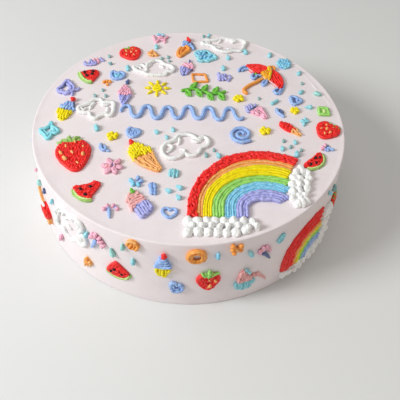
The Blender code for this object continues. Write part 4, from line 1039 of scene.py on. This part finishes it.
materials = {}
for name, (colour, _, roughness) in icing.items():
    deep = dipShadeOf(colour) if name != "white" else whiteDipShade
    materials[name] = icingMaterial("icing_" + name, colour, deep, roughness, bumps["toppings"], toppingLook)
materials["base"] = icingMaterial("icing_base", cakeColour["colour"], cakeColour["deep"],
                                  cakeColour["roughness"], bumps["cake"], cakeLook)
print("materials made")


# Geometry Nodes for the nozzle work

def geometryTree(name, inputs):
    tree = bpy.data.node_groups.new(name, "GeometryNodeTree")
    addSockets(tree, "INPUT", {"Geometry": "Geometry", **inputs, "Seed": "Float", "Icing": "Material"})
    addSockets(tree, "OUTPUT", {"Geometry": "Geometry"})
    add, maths = nodeMaker(tree)

    def attribute(name, kind="FLOAT"):
        return add("GeometryNodeInputNamedAttribute", {"data_type": kind}, Name=name).outputs[0]

    def wave(scale, detail):
        return add("ShaderNodeTexNoise", {"noise_dimensions": "4D"}, W=given["Seed"], Scale=scale,
                   Detail=detail).outputs

    def moving(geometry, direction, by):  # a curve's or a mesh's points, pushed along a direction
        offset = add("ShaderNodeVectorMath", {"operation": "SCALE"}, i0=direction, Scale=by).outputs[0]
        return add("GeometryNodeSetPosition", None, Geometry=geometry, Offset=offset).outputs[0]

    given = add("NodeGroupInput").outputs
    return tree, given, add, maths, attribute, wave, moving


def finishTree(tree, add, mesh, icing):
    mesh = add("GeometryNodeSetShadeSmooth", None, Geometry=mesh).outputs[0]
    mesh = add("GeometryNodeRealizeInstances", None, Geometry=mesh).outputs[0]
    mesh = add("GeometryNodeSetMaterial", None, Geometry=mesh, Material=icing).outputs[0]
    add("NodeGroupOutput", None, Geometry=mesh)
    return tree


def pipedTree():
    tree, given, add, maths, attribute, wave, moving = geometryTree("pipedIcing", {
        "Step": "Float", "Ridges": "Int", "Groove": "Float", "Swell": "Float", "Wander": "Float",
        "Lump": "Float"})
    radius = attribute("radius")
    rough = maths("MULTIPLY_ADD", attribute("crinkle"), 1.6, 1.0)
    curve = add("GeometryNodeMeshToCurve", None, Mesh=given["Geometry"]).outputs[0]
    curve = add("GeometryNodeCurveSplineType", {"spline_type": "CATMULL_ROM"}, Curve=curve).outputs[0]
    curve = add("GeometryNodeResampleCurve", {"mode": "LENGTH"}, Curve=curve, Length=given["Step"]).outputs[0]
    centred = add("ShaderNodeVectorMath", {"operation": "SUBTRACT"}, i0=wave(230.0, 1.0)["Color"],
                  i1=(0.5, 0.5, 0.5)).outputs[0]
    curve = moving(curve, centred, maths("MULTIPLY", given["Wander"], rough))

    # round ends on an open line
    along = add("GeometryNodeSplineParameter").outputs["Length"]
    total = add("GeometryNodeSplineLength").outputs["Length"]
    share = maths("DIVIDE", maths("MINIMUM", along, maths("SUBTRACT", total, along)), radius, clamp=True)
    left = maths("SUBTRACT", 1.0, share)
    rounded = maths("SQRT", maths("SUBTRACT", 1.0, maths("MULTIPLY", left, left)))
    closed = add("GeometryNodeInputSplineCyclic").outputs[0]
    rounded = maths("MAXIMUM", maths("MAXIMUM", rounded, 0.3), closed)

    # the nozzle's grooved section, swelling along the line
    swing = maths("SUBTRACT", wave(310.0, 2.0)["Fac"], 0.5)
    swing = maths("MULTIPLY", maths("MULTIPLY", swing, given["Swell"]), rough)
    thick = maths("MULTIPLY", maths("MULTIPLY", radius, rounded), maths("ADD", swing, 1.0))
    section = add("GeometryNodeCurveStar", None, **{
        "Outer Radius": 1.08, "Points": given["Ridges"], "Inner Radius": given["Groove"]}).outputs["Curve"]
    sweep = add("GeometryNodeCurveToMesh", None, **{
        "Curve": curve, "Profile Curve": section, "Scale": thick, "Fill Caps": True}).outputs[0]
    push = maths("MULTIPLY", maths("SUBTRACT", wave(520.0, 2.0)["Fac"], 0.5),
                 maths("MULTIPLY", given["Lump"], maths("MULTIPLY", rough, 2.0)))
    mesh = moving(sweep, add("GeometryNodeInputNormal").outputs[0], push)
    return finishTree(tree, add, mesh, given["Icing"])


def puffTree():
    tree, given, add, maths, attribute, wave, moving = geometryTree("icingPuffs", {"Lump": "Float"})
    ball = add("GeometryNodeMeshIcoSphere", None, Radius=0.5, Subdivisions=4).outputs[0]
    up = add("FunctionNodeAlignRotationToVector", {"axis": "Z"}, Vector=attribute("facing", "FLOAT_VECTOR"))
    turn = add("ShaderNodeCombineXYZ", None, Z=attribute("spin")).outputs[0]
    spin = add("FunctionNodeRotateRotation", {"rotation_space": "LOCAL"}, i0=up.outputs[0], i1=turn)
    mesh = add("GeometryNodeInstanceOnPoints", None, Points=given["Geometry"], Instance=ball,
               Rotation=spin.outputs[0], Scale=attribute("size", "FLOAT_VECTOR")).outputs[0]
    mesh = add("GeometryNodeRealizeInstances", None, Geometry=mesh).outputs[0]
    facing = add("GeometryNodeInputNormal").outputs[0]
    for scale, share in ((230.0, 1.0), (560.0, 0.45)):
        far = maths("SUBTRACT", wave(scale, 1.0)["Fac"], 0.5)
        mesh = moving(mesh, facing, maths("MULTIPLY", maths("MULTIPLY", given["Lump"], share * 2), far))
    return finishTree(tree, add, mesh, given["Icing"])


def runTree(tree, mesh, values):
    carrier = bpy.data.objects.new("carrier", mesh)
    bpy.context.scene.collection.objects.link(carrier)
    modifier = carrier.modifiers.new("nozzle", "NODES")
    modifier.node_group = tree
    for item in tree.interface.items_tree:
        if item.in_out == "INPUT" and item.name in values:
            modifier[item.identifier] = values[item.name]
    graph = bpy.context.evaluated_depsgraph_get()
    made = bpy.data.meshes.new_from_object(carrier.evaluated_get(graph))
    carrier.modifiers.clear()
    bpy.data.objects.remove(carrier)
    return made


def pointMesh(points, edges, attributes):
    mesh = bpy.data.meshes.new("points")
    mesh.from_pydata([tuple(p) for p in points], edges, [])
    for name, kind, values in attributes:
        layer = mesh.attributes.new(name, kind, "POINT")
        layer.data.foreach_set("vector" if kind == "FLOAT_VECTOR" else "value", values)
    return mesh


def pipedMesh(tree, strokes, colour, seed):
    points, edges, radii, crinkles = [], [], [], []
    for world, radius, closed, crinkle in strokes:
        first = len(points)
        points += world
        radii += [r * mm for r in radius]
        crinkles += [crinkle] * len(world)
        edges += [(first + i, first + i + 1) for i in range(len(world) - 1)]
        if closed:
            edges.append((len(points) - 1, first))
    mesh = pointMesh(points, edges, [("radius", "FLOAT", radii), ("crinkle", "FLOAT", crinkles)])
    values = {key.capitalize(): piping[key] for key in ("ridges", "groove", "swell")}
    values.update({key.capitalize(): piping[key] * mm for key in ("step", "wander", "lump")})
    return runTree(tree, mesh, {**values, "Seed": float(seed), "Icing": materials[colour]})


def puffMesh(tree, heap, colour, seed):
    facing, size = [], []
    for _, up, sizes, _ in heap:
        facing += list(up)
        size += [s * mm for s in sizes[:2]] + [sizes[2] * 1.5 * mm]
    mesh = pointMesh([p[0] for p in heap], [], [
        ("facing", "FLOAT_VECTOR", facing), ("size", "FLOAT_VECTOR", size),
        ("spin", "FLOAT", [math.radians(p[3]) for p in heap])])
    values = {"Lump": piping["puffLump"] * mm, "Seed": float(seed), "Icing": materials[colour]}
    return runTree(tree, mesh, values)


def addBed(solid, spot, outline, height):  # a low cushion over an outline
    rings = [(1.0, -piping["sunk"]), (1.0, height * 0.2), (0.94, height * 0.62), (0.82, height * 0.9),
             (0.5, height)]
    n = len(outline)
    mid = (sum(p[0] for p in outline) / n, sum(p[1] for p in outline) / n)
    made = []
    for size, high in rings:
        ring = []
        for x, y in outline:
            x, y = mid[0] + (x - mid[0]) * size, mid[1] + (y - mid[1]) * size
            ring.append(solid.verts.new(onCake(spot, x, y, high)))
        made.append(ring)
    for low, high in zip(made, made[1:]):
        for i in range(n):
            k = (i + 1) % n
            solid.faces.new((low[i], low[k], high[k], high[i]))
    crown = solid.verts.new(onCake(spot, *mid, height))
    foot = solid.verts.new(onCake(spot, *mid, -piping["sunk"]))
    for i in range(n):
        k = (i + 1) % n
        solid.faces.new((made[-1][i], made[-1][k], crown))
        solid.faces.new((made[0][k], made[0][i], foot))


def addStrip(solid, spot, outer, inner, height):  # the flat layer under a band
    levels = []
    for high in (-piping["sunk"], height):
        levels.append([[solid.verts.new(onCake(spot, x, y, high)) for x, y in side]
                       for side in (outer, inner)])
    (bo, bi), (to, ti) = levels
    for i in range(len(outer) - 1):
        solid.faces.new((to[i], to[i + 1], ti[i + 1], ti[i]))
        solid.faces.new((bo[i + 1], bo[i], bi[i], bi[i + 1]))
        solid.faces.new((bo[i], bo[i + 1], to[i + 1], to[i]))
        solid.faces.new((bi[i + 1], bi[i], ti[i], ti[i + 1]))
    solid.faces.new((bo[0], to[0], ti[0], bi[0]))
    solid.faces.new((bo[-1], bi[-1], ti[-1], to[-1]))


def finishPiece(name, solid, material, node):
    mesh = bpy.data.meshes.new(name)
    solid.to_mesh(mesh)
    solid.free()
    mesh.materials.clear()
    mesh.materials.append(material)
    mesh.polygons.foreach_set("use_smooth", [True] * len(mesh.polygons))
    piece = bpy.data.objects.new(name, mesh)
    bpy.context.scene.collection.objects.link(piece)
    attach(piece, "root")
    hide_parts(node)
    return piece


def buildToppings():
    piped, heaped = pipedTree(), puffTree()
    total = 0
    for seed, key in enumerate(sorted({*lines, *beds, *puffs, *strips})):
        node, colour = key
        solid = bmesh.new()
        for spot, outline, height in beds.get(key, []):
            addBed(solid, spot, outline, height)
        for spot, outer, inner, height in strips.get(key, []):
            addStrip(solid, spot, outer, inner, height)
        bmesh.ops.recalc_face_normals(solid, faces=solid.faces)
        if key in lines:
            solid.from_mesh(pipedMesh(piped, lines[key], colour, seed))
        if key in puffs:
            solid.from_mesh(puffMesh(heaped, puffs[key], colour, seed))
        total += len(solid.faces)
        finishPiece(node + "_" + colour, solid, materials[colour], node)
    print("toppings made:", total, "faces")


def creaseHeight(x, y):  # a low, broken ridge
    line, spot = cakeForm["crease"], Vector((x, y, 0))
    near = 9.0
    for start, end in zip(line, line[1:]):
        start, end = Vector((*start, 0)), Vector((*end, 0))
        along = (end - start).normalized()
        reach = min(max((spot - start).dot(along), 0.0), (end - start).length)
        near = min(near, (start + along * reach - spot).length)
    broken = max(0.0, 0.6 + 1.6 * noise.noise(Vector((x * 0.13, y * 0.13, 4.0))))
    return cakeForm["creaseHigh"] * broken * math.exp(-(near / cakeForm["creaseWide"]) ** 2)


def buildCake():
    top, base = cakeForm["topRadius"], cakeForm["baseRadius"]
    high, lip = cakeForm["height"], cakeForm["lip"]
    profile = [(r, high) for r in (2, 20, 40, 60, 80, 100, 108)]
    profile += [(r * 0.8, high) for r in range(140, 161)]
    profile += [(top - 3, high + lip * 0.25), (top - 1.9, high + lip * 0.9),
                (top - 1.1, high + lip), (top - 0.5, high + lip * 0.75), (top - 0.12, high - 0.2),
                (top, high - 0.9)]
    for step in range(1, 32):
        z = high - 0.9 - (high - 2.4) * step / 32
        profile.append((base + (top - base) * z / high, z))
    profile += [(base, 1.4), (base - 0.3, 0.5), (base - 1.1, 0)]
    count = cakeForm["facets"]
    solid = bmesh.new()
    rings = []
    for r, z in profile:
        ring = []
        for i in range(count):
            turn = math.tau * i / count
            p = Vector((r * math.sin(turn), -r * math.cos(turn), z))
            slow = noise.noise(Vector((p.x * 0.03, p.y * 0.03, p.z * 0.05)))
            quick = noise.noise(Vector((p.x * 0.25, p.y * 0.25, p.z * 0.6)))
            if r < top - 3.5 and z > 1:
                p.z += cakeForm["waver"] * 0.6 * slow + creaseHeight(p.x, p.y)
            elif z > high - 1:
                p.z += cakeForm["waver"] * (0.5 * slow + 0.9 * quick)
            elif z > 0:
                out = cakeForm["waver"] * (slow + 0.25 * quick)
                p.x += out * math.sin(turn)
                p.y -= out * math.cos(turn)
            ring.append(solid.verts.new(p * mm))
        rings.append(ring)
    for near, far in zip(rings, rings[1:]):
        for i in range(count):
            k = (i + 1) % count
            solid.faces.new((near[i], far[i], far[k], near[k]))
    crown = solid.verts.new((0, 0, high * mm))
    foot = solid.verts.new((0, 0, 0))
    for i in range(count):
        k = (i + 1) % count
        solid.faces.new((rings[0][i], rings[0][k], crown))
        solid.faces.new((rings[-1][k], rings[-1][i], foot))
    bmesh.ops.recalc_face_normals(solid, faces=solid.faces)
    finishPiece("cake_base", solid, materials["base"], "cake")
    print("cake made")


topRainbow()
sideRainbow()
clouds()
strawberries()
melons()
ices()
umbrellas()
scrolls()
singles()
topSmalls()
sideSmalls()
rearSmalls()
buildToppings()
buildCake()


# Floor, light and camera

studio = {
    "floor": (226, 227, 226),
    "floorRoughness": 0.7,
    "world": (1.0, 0.98, 0.95),
    "worldStrength": 0.38,
    "aim": (0, 0, 0.05),  # where the lamps point
}

lamps = {  # each lamp's place, size, power and colour
    "window": ((-1.25, -0.42, 1.0), 0.6, 20.0, (0.98, 1.0, 1.0)),
    "ceiling": ((-0.3, 0.1, 1.8), 1.2, 3.9, (1, 1, 1)),
    "bounce": ((1.3, -0.5, 0.35), 0.8, 1.3, (1, 0.7, 0.38)),
}

shot = {  # the camera, fitted to the cake's edges
    "focal": 552.36,  # in pixels
    "pixels": 400,
    "sensor": 36,
    "place": (0, -0.36082, 0.39791),
    "right": (0.9995963, 0.000529, 0.0284086),
    "down": (0.0187617, -0.7631531, -0.6459453),
    "ahead": (0.0213384, 0.6462175, -0.7628549),
}

bpy.ops.mesh.primitive_plane_add(size=8)
floor = bpy.context.object
floor.name = "floor"
paper = bpy.data.materials.new("floorPaper")
paper.use_nodes = True
cover = paper.node_tree.nodes["Principled BSDF"].inputs
cover["Base Color"].default_value = linear(studio["floor"])
cover["Roughness"].default_value = studio["floorRoughness"]
floor.data.materials.append(paper)

world = bpy.data.worlds.new("studio")
bpy.context.scene.world = world
world.use_nodes = True
back = world.node_tree.nodes["Background"]
back.inputs["Color"].default_value = (*studio["world"], 1)
back.inputs["Strength"].default_value = studio["worldStrength"]

for name, (place, size, power, colour) in lamps.items():
    lamp = bpy.data.lights.new(name, "AREA")
    lamp.shape = "DISK"
    lamp.size = size
    lamp.energy = power
    lamp.color = colour
    holder = bpy.data.objects.new(name, lamp)
    holder.location = place
    holder.rotation_euler = (Vector(studio["aim"]) - Vector(place)).to_track_quat("-Z", "Y").to_euler()
    bpy.context.scene.collection.objects.link(holder)

lens = bpy.data.cameras.new("camera")
lens.sensor_width = shot["sensor"]
lens.lens = shot["focal"] / shot["pixels"] * shot["sensor"]
camera = bpy.data.objects.new("camera", lens)
bpy.context.scene.collection.objects.link(camera)
rightUpBack = (Vector(shot["right"]), -Vector(shot["down"]), -Vector(shot["ahead"]))
turned = Matrix(rightUpBack).transposed().to_4x4()
camera.matrix_world = Matrix.Translation(shot["place"]) @ turned
bpy.context.scene.camera = camera
bpy.context.scene.view_settings.view_transform = "Standard"
